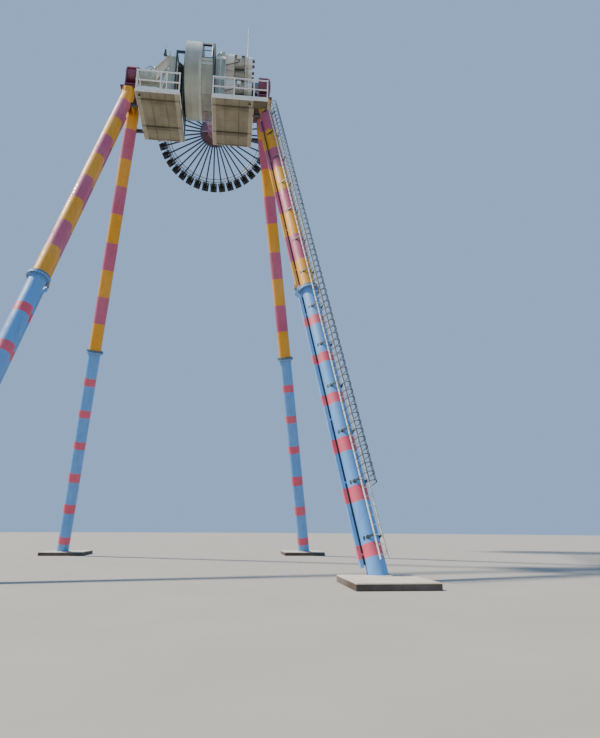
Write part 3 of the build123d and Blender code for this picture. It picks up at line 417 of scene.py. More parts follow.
def leg_bands(tree, here):
    """Paint by distance up the leg: rose stripes on blue, a dark ring, then yellow and pink in turn."""
    same = add(tree, "VectorMath", {"operation": "ABSOLUTE"}, {0: here}).outputs[0]
    offset = add(tree, "VectorMath", {"operation": "SUBTRACT"}, {0: same, 1: FOOT}).outputs[0]
    along = add(tree, "VectorMath", {"operation": "DOT_PRODUCT"}, {0: offset, 1: LEG_LINE}).outputs["Value"]
    reach = 26.0
    share = add(tree, "Math", {"operation": "DIVIDE"}, {0: along, 1: reach}).outputs[0]
    ramp = add(tree, "ValToRGB", None, {0: share})
    band = ramp.color_ramp
    band.interpolation = "CONSTANT"
    colours = paint()
    stops = [(0.0, colours.blue)]
    for index in range(6):
        start = 0.46 + sizes().stripe_pitch * index
        stops.append((start, colours.rose))
        stops.append((start + sizes().stripe, colours.blue))
    stops.append((FLANGE_AT - 0.075, colours.flange))
    stops.append((FLANGE_AT + 0.075, colours.yellow))
    for index in range(1, 9):
        # The bands grow a little towards the top.
        start = FLANGE_AT + 1.43 * index + 0.0025 * index * index
        stops.append((start, colours.pink if index % 2 else colours.yellow))
    band.elements[0].position = 0
    band.elements[1].position = 1
    for index, (distance, colour) in enumerate(stops):
        element = band.elements[0] if index == 0 else band.elements.new(distance / reach)
        element.color = (*colour, 1)
    band.elements[len(band.elements) - 1].color = (*colours.yellow, 1)
    return above(tree, here, 2, HEAD_PLATE_Z - 0.005, ramp.outputs[0], linear("#5a2a3a"))


def motor_skin(tree, here):
    """Machine enamel, with the black plastic caps at the motors' free ends."""
    return above(tree, here, 0, CASE_SIDE + 1.379, tuple(paint().motor), linear("#25282b"))


def hub_skin_with_painted_shade(tree, here):
    """Mauve paint on the half of the hub that faces up, deep maroon painted shade on the half that faces down, and
    a pale band between.
    """
    # Painted shade: deep maroon where the hub faces down, mauve where it faces up.
    painted_shade_halves = above(tree, here, 1, 0.0, linear("#451a29"), linear("#74506a"))
    across = add(tree, "SeparateXYZ", None, {0: here}).outputs[1]
    return stripe(tree, across, 0.0, 0.045, 1.0, painted_shade_halves, "#a8909c")


def drum_skin_with_painted_light_and_shade(tree, here):
    """Cover sheet with faint lines round the drum, painted light on the side that rests uppermost, a darker lower
    panel, painted shade behind the struts and a dark right rim of painted shade.
    """
    lines = add(tree, "Mapping", None, {0: here, "Scale": (26, 0.25, 0.25)}).outputs[0]
    noise = add(tree, "TexNoise", None, {"Vector": lines, "Scale": 1.0, "Detail": 3.0, "Roughness": 0.7})
    shade = add(tree, "MapRange", None, {0: noise.outputs[0], 1: 0.35, 2: 0.7, 3: 0.0, 4: 0.4}).outputs[0]
    # Painted light and shade: the side that rests uppermost is paler and the underside duller.
    offset = add(tree, "VectorMath", {"operation": "SUBTRACT"}, {0: here, 1: AXLE}).outputs[0]
    rise = add(tree, "VectorMath", {"operation": "DOT_PRODUCT"}, {0: offset, 1: DRUM_UP}).outputs["Value"]
    painted_top_light = add(tree, "MapRange", None, {0: rise, 1: -0.6, 2: 1.75, 3: 0.0, 4: 1.0}).outputs[0]
    ground = add(tree, "Mix", BLEND, {0: painted_top_light, 6: linear("#989b8b"), 7: tuple(paint().drum)}).outputs[2]
    sheet = add(tree, "Mix", BLEND, {0: shade, 6: ground, 7: linear("#8f9384")}).outputs[2]
    parts = add(tree, "SeparateXYZ", None, {0: here}).outputs
    down = add(tree, "Math", {"operation": "SUBTRACT"}, {0: AXLE.z, 1: parts[2]}).outputs[0]
    turn = add(tree, "Math", {"operation": "ARCTAN2"}, {0: parts[1], 1: down}).outputs[0]
    right = add(tree, "Math", {"operation": "GREATER_THAN"}, {0: parts[0], 1: DRUM_SEAM}).outputs[0]
    # The darker lower panel lies 206 to 290 degrees round from straight down, on the right part only.
    # From 234 to 300 degrees it is darker still: painted shade behind the struts.
    for middle, half, colour in ((248, 42, "#73756b"), (267, 33, "#43403f")):
        sheet = stripe(tree, turn, math.radians(middle - 360), math.radians(half), right, sheet, colour)
    # Painted shade: dark grey on the right rim past x 0.757, the cheek's outer face turned away from the sun.
    return above(tree, here, 0, DRUM_RIGHT - 0.033, sheet, linear("#4a504c"))


def tray_skin_with_painted_light_and_shade(tree, here):
    """Underside sheet in olive grey painted shade: painted shadow along the cross beams, painted light along the
    edges, teal under the outer step.
    """
    parts = add(tree, "SeparateXYZ", None, {0: here}).outputs
    colour = tuple(paint().tray)
    away = add(tree, "Math", {"operation": "ABSOLUTE"}, {0: parts[0]}).outputs[0]
    # Painted shadow of the cross beams.
    for middle, half in ((-1.45, 0.15), (0.55, 0.15), (1.56, 0.12)):
        colour = stripe(tree, parts[1], middle, half, 0.7, colour, "#4b4535")
    # Painted light: paler strips along the inner and outer edges.
    for edge in (0.86, FAR_EDGE - 0.1):
        colour = stripe(tree, away, edge, 0.1, 1.0, colour, "#a19c8a")
    for seam in (1.42, 2.1):
        colour = stripe(tree, away, seam, 0.022, 0.75, colour, "#443f31")
    return above(tree, here, 0, FAR_EDGE, colour, linear("#5c5c46"))


def frame_skin(tree, here):
    """Dark teal above the deck and grey where the posts hang below it."""
    return above(tree, here, 2, TRAY_LOW, linear("#86837a"), linear("#173536"))


def footing_skin(tree, here):
    """Concrete, pale on faces turned up and brown on its sides: partly soil, partly painted light and shade."""
    normal = add(tree, "NewGeometry").outputs["Normal"]
    up = add(tree, "SeparateXYZ", None, {0: normal}).outputs[2]
    side = add(tree, "MapRange", None, {0: up, 1: 0.9, 2: 0.3, 3: 0.0, 4: 1.0}).outputs[0]
    grit = add(tree, "TexNoise", None, {"Vector": here, "Scale": 14.0, "Detail": 8.0, "Roughness": 0.75})
    pale, brown = (add(tree, "Mix", BLEND, {0: grit.outputs[0], 6: linear(one), 7: linear(other)}).outputs[2]
                   for one, other in (("#d8d0c3", "#a89f92"), ("#5a4c40", "#362e27")))
    return add(tree, "Mix", BLEND, {0: side, 6: pale, 7: brown}).outputs[2]


def chequer(tree, here):
    """Tread plate: raised bars at a right angle to each other, in turn."""
    waves = []
    for turn in (45, -45):
        across = add(tree, "Mapping", None, {0: here, "Rotation": (0, 0, math.radians(turn))}).outputs[0]
        waves.append(add(tree, "TexWave", None, {"Vector": across, "Scale": 5.0}).outputs[1])
    both = add(tree, "Math", {"operation": "MULTIPLY"}, {0: waves[0], 1: waves[1]}).outputs[0]
    return add(tree, "Mix", BLEND, {0: both, 6: linear("#6f7371"), 7: linear("#a5a8a5")}).outputs[2]


def make_finishes():
    """All finishes, by the record's slot or by name."""
    colours = paint()
    finish.update({
        # Cast concrete: gritty, matt, pale on top and brown on its sides, partly soil and partly painted light and
        # shade.
        "concrete": coated("cast concrete", footing_skin, 0.85, dirt=("#6e6353", 0.4), streak=(2, 2, 2),
                           grain=90.0, bump=0.6),
        # Gloss enamel on rolled steel tube: clean bands with a soft shine and faint runs of dust.
        "leg_blue_and_pink": coated("gloss enamel on leg tube", leg_bands, 0.5, fade=("#f7efe6", 0.07, 2.2),
                                    dirt=("#5d4636", 0.26), coat=0.04, wear="#7a4a30"),
        # Gloss enamel on a folded steel duct: the same bands, a little duller.
        "duct_paint": coated("enamel on folded duct", leg_bands, 0.45, dirt=("#5b4636", 0.35)),
        # Maroon gloss on welded plate: deep red with chalky fading on the flats.
        "bearing_box_red": coated("maroon enamel on welded plate", tuple(colours.maroon), 0.36,
                                  fade=("#c98aa0", 0.25, 0.7), coat=0.2, wear="#5d3a33"),
        # Paint on galvanised sheet seen from below: olive grey painted shade, with rust and water marks.
        "tray_underside": coated("paint with painted shade on folded sheet", tray_skin_with_painted_light_and_shade, 0.62, fade=("#a59c80", 0.4, 0.9),
                                 dirt=("#5a4630", 0.35), streak=(1.6, 0.5, 1.6), wear="#6a4026"),
        # Rolled tread plate: worn grey steel with bright raised bars.
        "deck_plate": coated("rolled tread plate", chequer, 0.5, dirt=("#4c463c", 0.4), metallic=0.6,
                             streak=(1.5, 1.5, 1.5)),
        # Galvanised steel gone dark: mottled grey with a low sheen.
        "dark_steel": coated("weathered galvanised steel", linear("#474c4e"), 0.5, fade=("#8b9091", 0.35, 0.3),
                             metallic=0.5, wear="#6a4026"),
        # White enamel on square tube: chalky, with rust at the edges.
        "white_rail_paint": coated("white enamel on square tube", tuple(colours.rail), 0.4,
                                   fade=("#e2ddd2", 0.3, 0.8), dirt=("#85745f", 0.16), wear="#8a5a3c"),
        # Hot dip zinc: pale grey with a spangle.
        "ladder_zinc": coated("hot dip zinc", linear("#e0e1dc"), 0.45, fade=("#b0b4b2", 0.4, 0.08),
                              dirt=("#6f6a5e", 0.3), metallic=0.1),
        # Tarred flat bar: nearly black green where the arms stand off the leg.
        "bracket_dark": coated("tarred flat bar", linear("#26302f"), 0.5, fade=("#4a5452", 0.3, 0.3),
                               wear="#6a4026"),
        # Grey green machine enamel on cast and welded cases: satin with oil dust.
        "drive_grey_paint": coated("machine enamel on drive case", linear("#b4baac"), 0.4,
                                   fade=("#d8dbd0", 0.3, 0.8), dirt=("#57503f", 0.4), wear="#5b4a3c"),
        # Beige machine enamel on cast iron: satin, slightly pebbled.
        "motor_paint": coated("machine enamel on cast iron", motor_skin, 0.38, fade=("#e9e4d4", 0.25, 0.5),
                              dirt=("#6f6a55", 0.28), grain=45.0, bump=0.3, wear="#5b4a3c"),
        # Pale enamel on a welded case: the lighter of the two gear cases.
        "case_pale": coated("pale enamel on welded case", linear("#eeefe6"), 0.4, fade=("#ecece4", 0.3, 0.8),
                            dirt=("#6a604c", 0.35), wear="#5b4a3c"),
        # Light enamel on folded sheet: catches the sun along edges and slats.
        "light_panel": coated("light enamel on folded sheet", linear("#b9bcb0"), 0.38,
                              fade=("#d0d2c8", 0.3, 0.6), dirt=("#6f6a58", 0.3), wear="#5b4a3c", arm=True),
        # Dark enamel on rolled hoop, nearly black where it frames the window: painted shade on the frame's inner
        # side.
        "dark_panel_painted_shade": coated("dark enamel and painted shade on rolled hoop", linear("#3b4342"), 0.42, fade=("#59605e", 0.25, 0.5),
                             dirt=("#201d18", 0.4), wear="#6b6a60", arm=True),
        # Cream enamel on rolled beam: warm white with rust at the edges.
        "cream": coated("cream enamel on rolled beam", linear("#ddd3bd"), 0.42, fade=("#f1ebdc", 0.3, 0.5),
                        dirt=("#7a674c", 0.35), wear="#7a4a30"),
        # Olive enamel on ribbed iron, darkened further as painted shade, with dust between the ribs.
        "motor_olive_and_painted_shade": coated("olive enamel and painted shade on ribbed iron", linear("#4b4838"), 0.48, dirt=("#2c2920", 0.45),
                              grain=45.0, bump=0.3),
        # Dark teal enamel on square tube.
        "teal_paint": coated("dark teal enamel", frame_skin, 0.4, fade=("#56787a", 0.2, 2.2), wear="#6a4026"),
        # Opal polycarbonate: milky and smooth.
        "lamp_white": coated("opal polycarbonate", linear("#efeee8"), 0.25, fade=("#d8d4c6", 0.12, 0.2),
                             dirt=("#4c463c", 0.15), bump=0.02, coat=0.4),
        # Turned steel: bright with a thin film of grease.
        "shaft_steel": coated("turned steel", linear("#8e8f8e"), 0.3, fade=("#5f5c55", 0.4, 0.2),
                              dirt=("#3a3329", 0.3), metallic=1.0, streak=(40, 1, 1), arm=True),
        # Enamelled steel sheet in rolled panels: satin grey green, lined round the drum, with painted light on top
        # and painted shade below.
        "drum_grey_paint": coated("enamel with painted light and shade on rolled sheet", drum_skin_with_painted_light_and_shade, 0.38, fade=("#dfe2d8", 0.3, 1.6),
                                  dirt=("#5f5b4a", 0.35), streak=(9, 0.5, 0.5), wear="#5b4a3c", arm=True),
        # Mauve enamel on welded box section: glossy with faded flats.
        "arm_pink_paint": coated("mauve enamel on box section", linear("#93697c"), 0.4,
                                 fade=("#b9939f", 0.25, 1.4), dirt=("#4e2c38", 0.4), coat=0.2,
                                 streak=(6, 6, 0.4), wear="#5d3a33", arm=True),
        # Mauve enamel on the pressed hub, darker than the arm, with deep maroon painted shade on its lower half.
        "hub_mauve_and_painted_shade": coated("mauve enamel and painted shade on pressed hub", hub_skin_with_painted_shade, 0.38, fade=("#9a7f8c", 0.25, 0.7),
                            dirt=("#2c1820", 0.4), wear="#5d3a33", arm=True),
        # Navy enamel on flat bar: nearly black with a soft highlight.
        "spoke_dark_paint": coated("navy enamel on flat bar", linear("#1d2336"), 0.35,
                                   fade=("#4a5470", 0.3, 0.6), dirt=("#0d0f14", 0.3), wear="#4c4f55", arm=True),
        # Light grey enamel on thin tube.
        "ring_grey": coated("light grey enamel on tube", linear("#b9c0c4"), 0.35, fade=("#8b9094", 0.4, 0.4),
                            dirt=("#5a5a58", 0.3), arm=True),
        # Moulded glass fibre: near black with a fine pebble.
        "seat_shell": coated("moulded glass fibre", linear("#171b24"), 0.4, fade=("#3a4152", 0.3, 0.3),
                             grain=120.0, bump=0.25, coat=0.3, arm=True),
        # Dipped foam: soft black skin with a fine leathery grain.
        "restraint_padding": coated("dipped foam", linear("#14161b"), 0.62, fade=("#30343c", 0.35, 0.15),
                                    grain=150.0, bump=0.5, arm=True),
        # Zinc plated fasteners: dull bright.
        "fastener": coated("zinc plated bolt", linear("#a8a9a4"), 0.35, fade=("#6d5d4b", 0.5, 0.05),
                           metallic=0.9),
        # Rubber and bitumen: black and matt.
        "rubber": coated("black rubber", linear("#1c1c1d"), 0.7, fade=("#3a3836", 0.12, 2.2), grain=110.0,
                         bump=0.3),
    })
    finish["leg_yellow_and_pink"] = finish["leg_blue_and_pink"]


OWN_FINISH = {"gondola_hub": "hub_mauve_and_painted_shade", "brace_plates_left": "cream", "gear_case_right": "case_pale",
              "ladder_brackets": "bracket_dark"}


class RIDE_OT_paint_nodes(bpy.types.Operator):
    """Make the finishes and give each node of the frame its own"""

    bl_idname = "ride.paint_nodes"
    bl_label = "Paint the frame"

    def execute(self, context):
        make_finishes()
        for row in frame["record"]["subparts"]:
            for held in frame["nodes"][row["node"]].material_slots:
                held.material = finish[OWN_FINISH.get(row["node"], row["material_slot"])]
        return {"FINISHED"}


class RIDE_OT_leg_fastenings(bpy.types.Operator):
    """Bolts of the leg rings, girth welds, duct rails and the mortar round each foot"""

    bl_idname = "ride.leg_fastenings"
    bl_label = "Leg fastenings"

    def execute(self, context):
        heads, welds, mortar, rails = blank(4)
        weld = [(LEG_RADIUS - 0.004, -0.012), (LEG_RADIUS + 0.004, 0), (LEG_RADIUS - 0.004, 0.012)]
        fillet = [(0.36, 0), (0.46, 0), (0.44, 0.012), (0.375, 0.035), (0.36, 0.035)]
        for side, end in product(BOTH, BOTH):
            for rise, flip in ((0.06, 0), (-0.06, 180)):
                ring = leg_spot(side, end, FLANGE_AT + rise) @ spun(flip, "X")
                bolts(heads, ring, 0.385, 20, sizes().bolt, 0.034)
            for distance in (5.6, 16.9, ELBOW_AT):
                turned(welds, weld, leg_spot(side, end, distance), 40)
            turned(mortar, fillet, at(FOOT.x * side, FOOT.y * end, FOOT.z), 40)
        # Each duct stands on a rail that closes the gap to the leg; its near-black finish is painted shade between
        # duct and leg.
        runs = ((0.35, FLANGE_AT - 0.32), (FLANGE_AT + 0.32, ELBOW_AT - 0.6))
        for (side, turn), (low, high) in product(((1, -172), (-1, 70)), runs):
            rail = leg_spot(side, -1, (low + high) / 2, turn) @ at(LEG_RADIUS + 0.036, 0.01, 0)
            brick(rails, (0.076, 0.04, high - low), rail)
        publish(heads, "leg_flange_bolts", FASTENER)
        publish(welds, "leg_welds", "leg_yellow_and_pink")
        publish(rails, "duct_rails_painted_shade", ("bracket_dark", "dark_steel"))
        publish(mortar, "leg_foot_mortar", "concrete")
        return {"FINISHED"}


class RIDE_OT_ladder_fittings(bpy.types.Operator):
    """Bolts of the cage's hoops, pads under the ladder's brackets and joint plates of the stringers"""

    bl_idname = "ride.ladder_fittings"
    bl_label = "Ladder fittings"

    def execute(self, context):
        heads, pads, clips = blank(3)
        half = LADDER_HALF + 0.011
        for index, side in product(range(CAGE_HOOPS), BOTH):
            spot = leg_spot(1, -1, CAGE_FIRST + 0.013 + sizes().hoop_pitch * index, LADDER_TURN)
            clip = spot @ at(LADDER_OUT + 0.03, side * (half + 0.004), 0)
            brick(clips, (0.09, 0.012, 0.034), clip, 0.002)
            for x in (0.02, -0.02):
                out = spot.to_3x3() @ Vector((0, side, 0))
                bolt(heads, clip @ Vector((x, side * 0.006, 0)), out, 0.007, 0.009)
        for index, side in product(range(BRACKETS), BOTH):
            spot = leg_spot(1, -1, BRACKET_FIRST + BRACKET_PITCH * index, LADDER_TURN)
            for turn in (46, 68):
                pad = spot @ spun(side * turn) @ at(LEG_RADIUS + 0.003, 0, 0)
                brick(pads, (0.012, 0.06, 0.12), pad, 0.003)
            plate = spot @ at(LADDER_OUT, side * half, 0)
            brick(clips, (0.05, 0.008, 0.16), plate, 0.002)
            for rise in (-0.05, 0.05):
                out = spot.to_3x3() @ Vector((0, side, 0))
                bolt(heads, plate @ Vector((0, side * 0.004, rise)), out, 0.01, 0.012)
        publish(heads, "ladder_bolts", FASTENER)
        publish(pads, "ladder_bracket_pads", ("bracket_dark", "dark_steel"))
        publish(clips, "ladder_clips", "ladder_zinc")
        return {"FINISHED"}


class RIDE_OT_bearing_fittings(bpy.types.Operator):
    """Bearing covers, bolts and the stiffeners of the bearing boxes"""

    bl_idname = "ride.bearing_fittings"
    bl_label = "Bearing fittings"

    def execute(self, context):
        heads, covers, caps = blank(3)
        cover = [(0.25, -0.01), (0.40, -0.01), (0.40, 0.03), (0.385, 0.04), (0.25, 0.04)]
        cap = [(0.0, 0.0), (0.0, 0.02), (0.15, 0.02), (0.16, 0.01), (0.16, 0.0)]
        for side in BOTH:
            middle, plate = side * HOUSING_X, side * HEAD_PLATE_X
            face = placed((side * HOUSING_OUTER, 0, AXLE.z), (side, 0, 0))
            turned(covers, cover, face, 56)
            bolts(heads, face @ at(0, 0, 0.04), 0.33, 16, 0.018, 0.022)
            shaft_end = placed((side * SHAFT_END, 0, AXLE.z), (side, 0, 0))
            turned(caps, cap, shaft_end, 40, False)
            bolts(heads, shaft_end, 0.19, 8, 0.016, 0.02)
            rows = [plate + x for x in (-0.36, -0.12, 0.12, 0.36)]
            studs(heads, rows, (-0.9, 0.9), [HEAD_PLATE_Z + 0.08], UP, 0.028, 0.035)
            rows = [middle - 0.325, middle + 0.325]
            studs(heads, rows, (-0.6, -0.2, 0.2, 0.6), [HEAD_PLATE_Z + 0.13], UP, 0.022, 0.03)
            for y in (-0.28, 0.28):
                slab(covers, (middle - 0.235, y - 0.012, 22.5), (middle + 0.235, y + 0.012, 22.92), 0.003)
            # A bright lip runs along the front and the rear of the shelf.
            for y in (-0.54, 0.54):
                slab(covers, (middle - 0.28, y, 22.9), (middle + 0.28, y * 1.04, 22.97), 0.006)
        publish(covers, "bearing_covers", "bearing_box_red")
        publish(heads, "bearing_bolts", FASTENER)
        publish(caps, "shaft_end_caps", "shaft_steel", "pendulum", swung=False)
        return {"FINISHED"}


class RIDE_OT_platform_trim(bpy.types.Operator):
    """White edge channels, floodlights, seams and bolt rows of the platforms"""

    bl_idname = "ride.platform_trim"
    bl_label = "Platform trim"

    def execute(self, context):
        trim, heads, lamps, seams = blank(4)
        for name, side in SIDES.items():
            near, far = side * NEAR_EDGE[name], side * FAR_EDGE
            left, right = min(near, far), max(near, far)
            start = STEP_REAR if side > 0 else FRONT_Y
            self.fascia(trim, (left, FRONT_Y), (right, FRONT_Y), (0, -1))
            self.fascia(trim, (left, REAR_Y), (right, REAR_Y), (0, 1))
            self.fascia(trim, (far, start), (far, REAR_Y), (side, 0))
            self.fascia(trim, (near, FRONT_Y), (near, REAR_Y), (-side, 0))
            if side > 0:
                self.fascia(trim, (FAR_EDGE, FRONT_Y), (STEP_EDGE, FRONT_Y), (0, -1), STEP_LOW)
                self.fascia(trim, (STEP_EDGE, FRONT_Y), (STEP_EDGE, STEP_REAR), (1, 0), STEP_LOW)
            row, rise = [-1.42 + 0.26 * index for index in range(12)], [TRAY_LOW + 0.06]
            for x, out in ((near, -side), (far, side)):
                studs(heads, [x + out * 0.012], row, rise, (out, 0, 0), 0.012, 0.012)
            row = [left + 0.12 + (right - left - 0.24) * index / 6 for index in range(7)]
            studs(heads, row, [FRONT_Y - 0.012], rise, (0, -1, 0), 0.012, 0.012)
            for share in (1 / 6, 1 / 2, 5 / 6):
                x = near + (far - near) * share
                slab(seams, (x - 0.014, -1.95, TRAY_LOW - 0.006), (x + 0.014, 1.5, TRAY_LOW + 0.002), 0.002)
            for y in (-1.75, -1.15, -0.45, 0.05, 0.95, 1.35):
                slab(seams, (left + 0.03, y - 0.012, TRAY_LOW - 0.005),
                     (right - 0.03, y + 0.012, TRAY_LOW + 0.002), 0.002)
            # A small floodlight hangs under each front outer corner.
            x = side * 2.6
            bar(lamps, (x, -1.9, TRAY_LOW), (x, -1.9, TRAY_LOW - 0.07), 0.012, 8)
            leaning = placed((x, -1.92, TRAY_LOW - 0.1), (0, -0.4, 0.9), (1, 0, 0))
            brick(lamps, (0.11, 0.09, 0.07), leaning, 0.012, 2)
        publish(trim, "platform_edge_trim", "white_rail_paint")
        publish(heads, "platform_bolts", FASTENER)
        publish(lamps, "platform_floodlights", ("rubber", "dark_steel"))
        publish(seams, "tray_seam_strips", "tray_underside")
        return {"FINISHED"}

    def fascia(self, bm, start, end, out, low=TRAY_LOW):
        """Edge plate with a lip along its top and bottom, standing out from a platform's edge."""
        top = DECK_TOP
        for depth, z_low, z_high in ((0.012, low, top), (0.026, top - 0.03, top), (0.026, low, low + 0.025)):
            slab(bm, (*start, z_low), (end[0] + out[0] * depth, end[1] + out[1] * depth, z_high), 0.003)


def rail_spots(name):
    """Places of the guard rail's posts."""
    side = SIDES[name]
    near = NEAR_EDGE[name] + 0.03
    far = (STEP_EDGE if side > 0 else FAR_EDGE) - 0.03
    shares = (0, 0.385, 0.75, 1) if side > 0 else (0, 0.3, 0.44, 1)
    front = [side * (near + (far - near) * share) for share in shares]
    rear = [side * (near + (FAR_EDGE - 0.03 - near) * share) for share in (0, 0.5, 1)]
    return [(x, FRONT_Y + 0.03) for x in front] + [(x, REAR_Y - 0.03) for x in rear]


class RIDE_OT_rail_fittings(bpy.types.Operator):
    """Foot plates, caps and clamps of the guard rails, and the slanting bar on the left"""

    bl_idname = "ride.rail_fittings"
    bl_label = "Rail fittings"

    def execute(self, context):
        bm, heads = blank(2)
        foot, cap = DECK_TOP + 0.012, DECK_TOP + 1.1
        for x, y in rail_spots("left") + rail_spots("right"):
            slab(bm, (x - 0.055, y - 0.0285, DECK_TOP), (x + 0.055, y + 0.055, foot), 0.002)
            slab(bm, (x - 0.034, y - 0.029, cap), (x + 0.034, y + 0.034, cap + 0.012), 0.004)
            for rail in (DECK_TOP + 0.535, DECK_TOP + 1.075):
                slab(bm, (x - 0.04, y - 0.029, rail - 0.034), (x + 0.04, y + 0.034, rail + 0.034), 0.004)
            studs(heads, (x - 0.042, x + 0.042), [y + 0.03], [foot], UP, 0.008, 0.009)
        # A slanting flat bar crosses the left front rail between its two close posts.
        slant = [Vector((-1.38, -2.015, DECK_TOP + 1.05)), Vector((-1.62, -2.015, DECK_TOP + 0.02))]
        piped(bm, slant, 0.018, 8)
        publish(bm, "rail_fittings", "white_rail_paint")
        publish(heads, "rail_foot_bolts", FASTENER)
        return {"FINISHED"}


class RIDE_OT_motor_fittings(bpy.types.Operator):
    """Ribs, straps, terminal boxes and bolts of the four gear motors"""

    bl_idname = "ride.motor_fittings"
    bl_label = "Motor fittings"

    def execute(self, context):
        ribs, straps, boxes, heads, vents = blank(5)
        collar = [(0.34, 0.40), (0.362, 0.40), (0.362, 0.452), (0.32, 0.452)]
        cowl = [(0.295, 1.04), (0.31, 1.04), (0.31, 1.20), (0.297, 1.382), (0.285, 1.384), (0.285, 1.04)]
        for y, row in product((-MOTOR_Y, MOTOR_Y), MOTOR_ROWS):
            side, z = math.copysign(1, y), AXLE.z + row
            spot = placed((CASE_SIDE, y, z), (1, 0, 0), UP)
            bolts(heads, spot @ at(0, 0, 0.06), 0.362, 16, 0.014, 0.018)
            band(straps, 0.348, 0.358, 0.10, 0.14, spot)
            turned(straps, collar, spot, 48)
            band(ribs, 0.322, 0.35, 0.47, 0.49, spot, 40)
            band(ribs, 0.322, 0.352, 0.975, 1.0, spot, 40)
            turned(boxes, cowl, spot, 40)
            for index in range(34):
                brick(ribs, (0.03, 0.009, 0.48), spot @ spun(360 * index / 34) @ at(0.335, 0, 0.73))
            for index in range(24):
                brick(vents, (0.006, 0.02, 0.12), spot @ spun(15 * index) @ at(0.309, 0, 1.12))
            slab(boxes, (1.92, y + side * 0.30, z - 0.09), (2.14, y + side * 0.40, z + 0.12), 0.012, 2)
            bolts(heads, placed((2.03, y + side * 0.40, z + 0.015), (0, side, 0)), 0.1, 4, 0.008, 0.008)
            lead = softened([(2.03, y + side * 0.35, z - 0.08), (2.03, y + side * 0.35, z - 0.25),
                             (1.70, y + side * 0.30, z - 0.34), (1.31, y + side * 0.16, z - 0.36)], 0.1)
            piped(vents, lead, 0.016, 8)
        publish(ribs, "motor_ribs", ("motor_olive_and_painted_shade", "motor_paint"))
        publish(straps, "motor_straps", "motor_paint")
        publish(boxes, "motor_covers", "motor_paint")
        publish(heads, "motor_bolts", ("fastener", "motor_paint"))
        publish(vents, "motor_vents_and_leads", ("rubber", "dark_steel"))
        return {"FINISHED"}


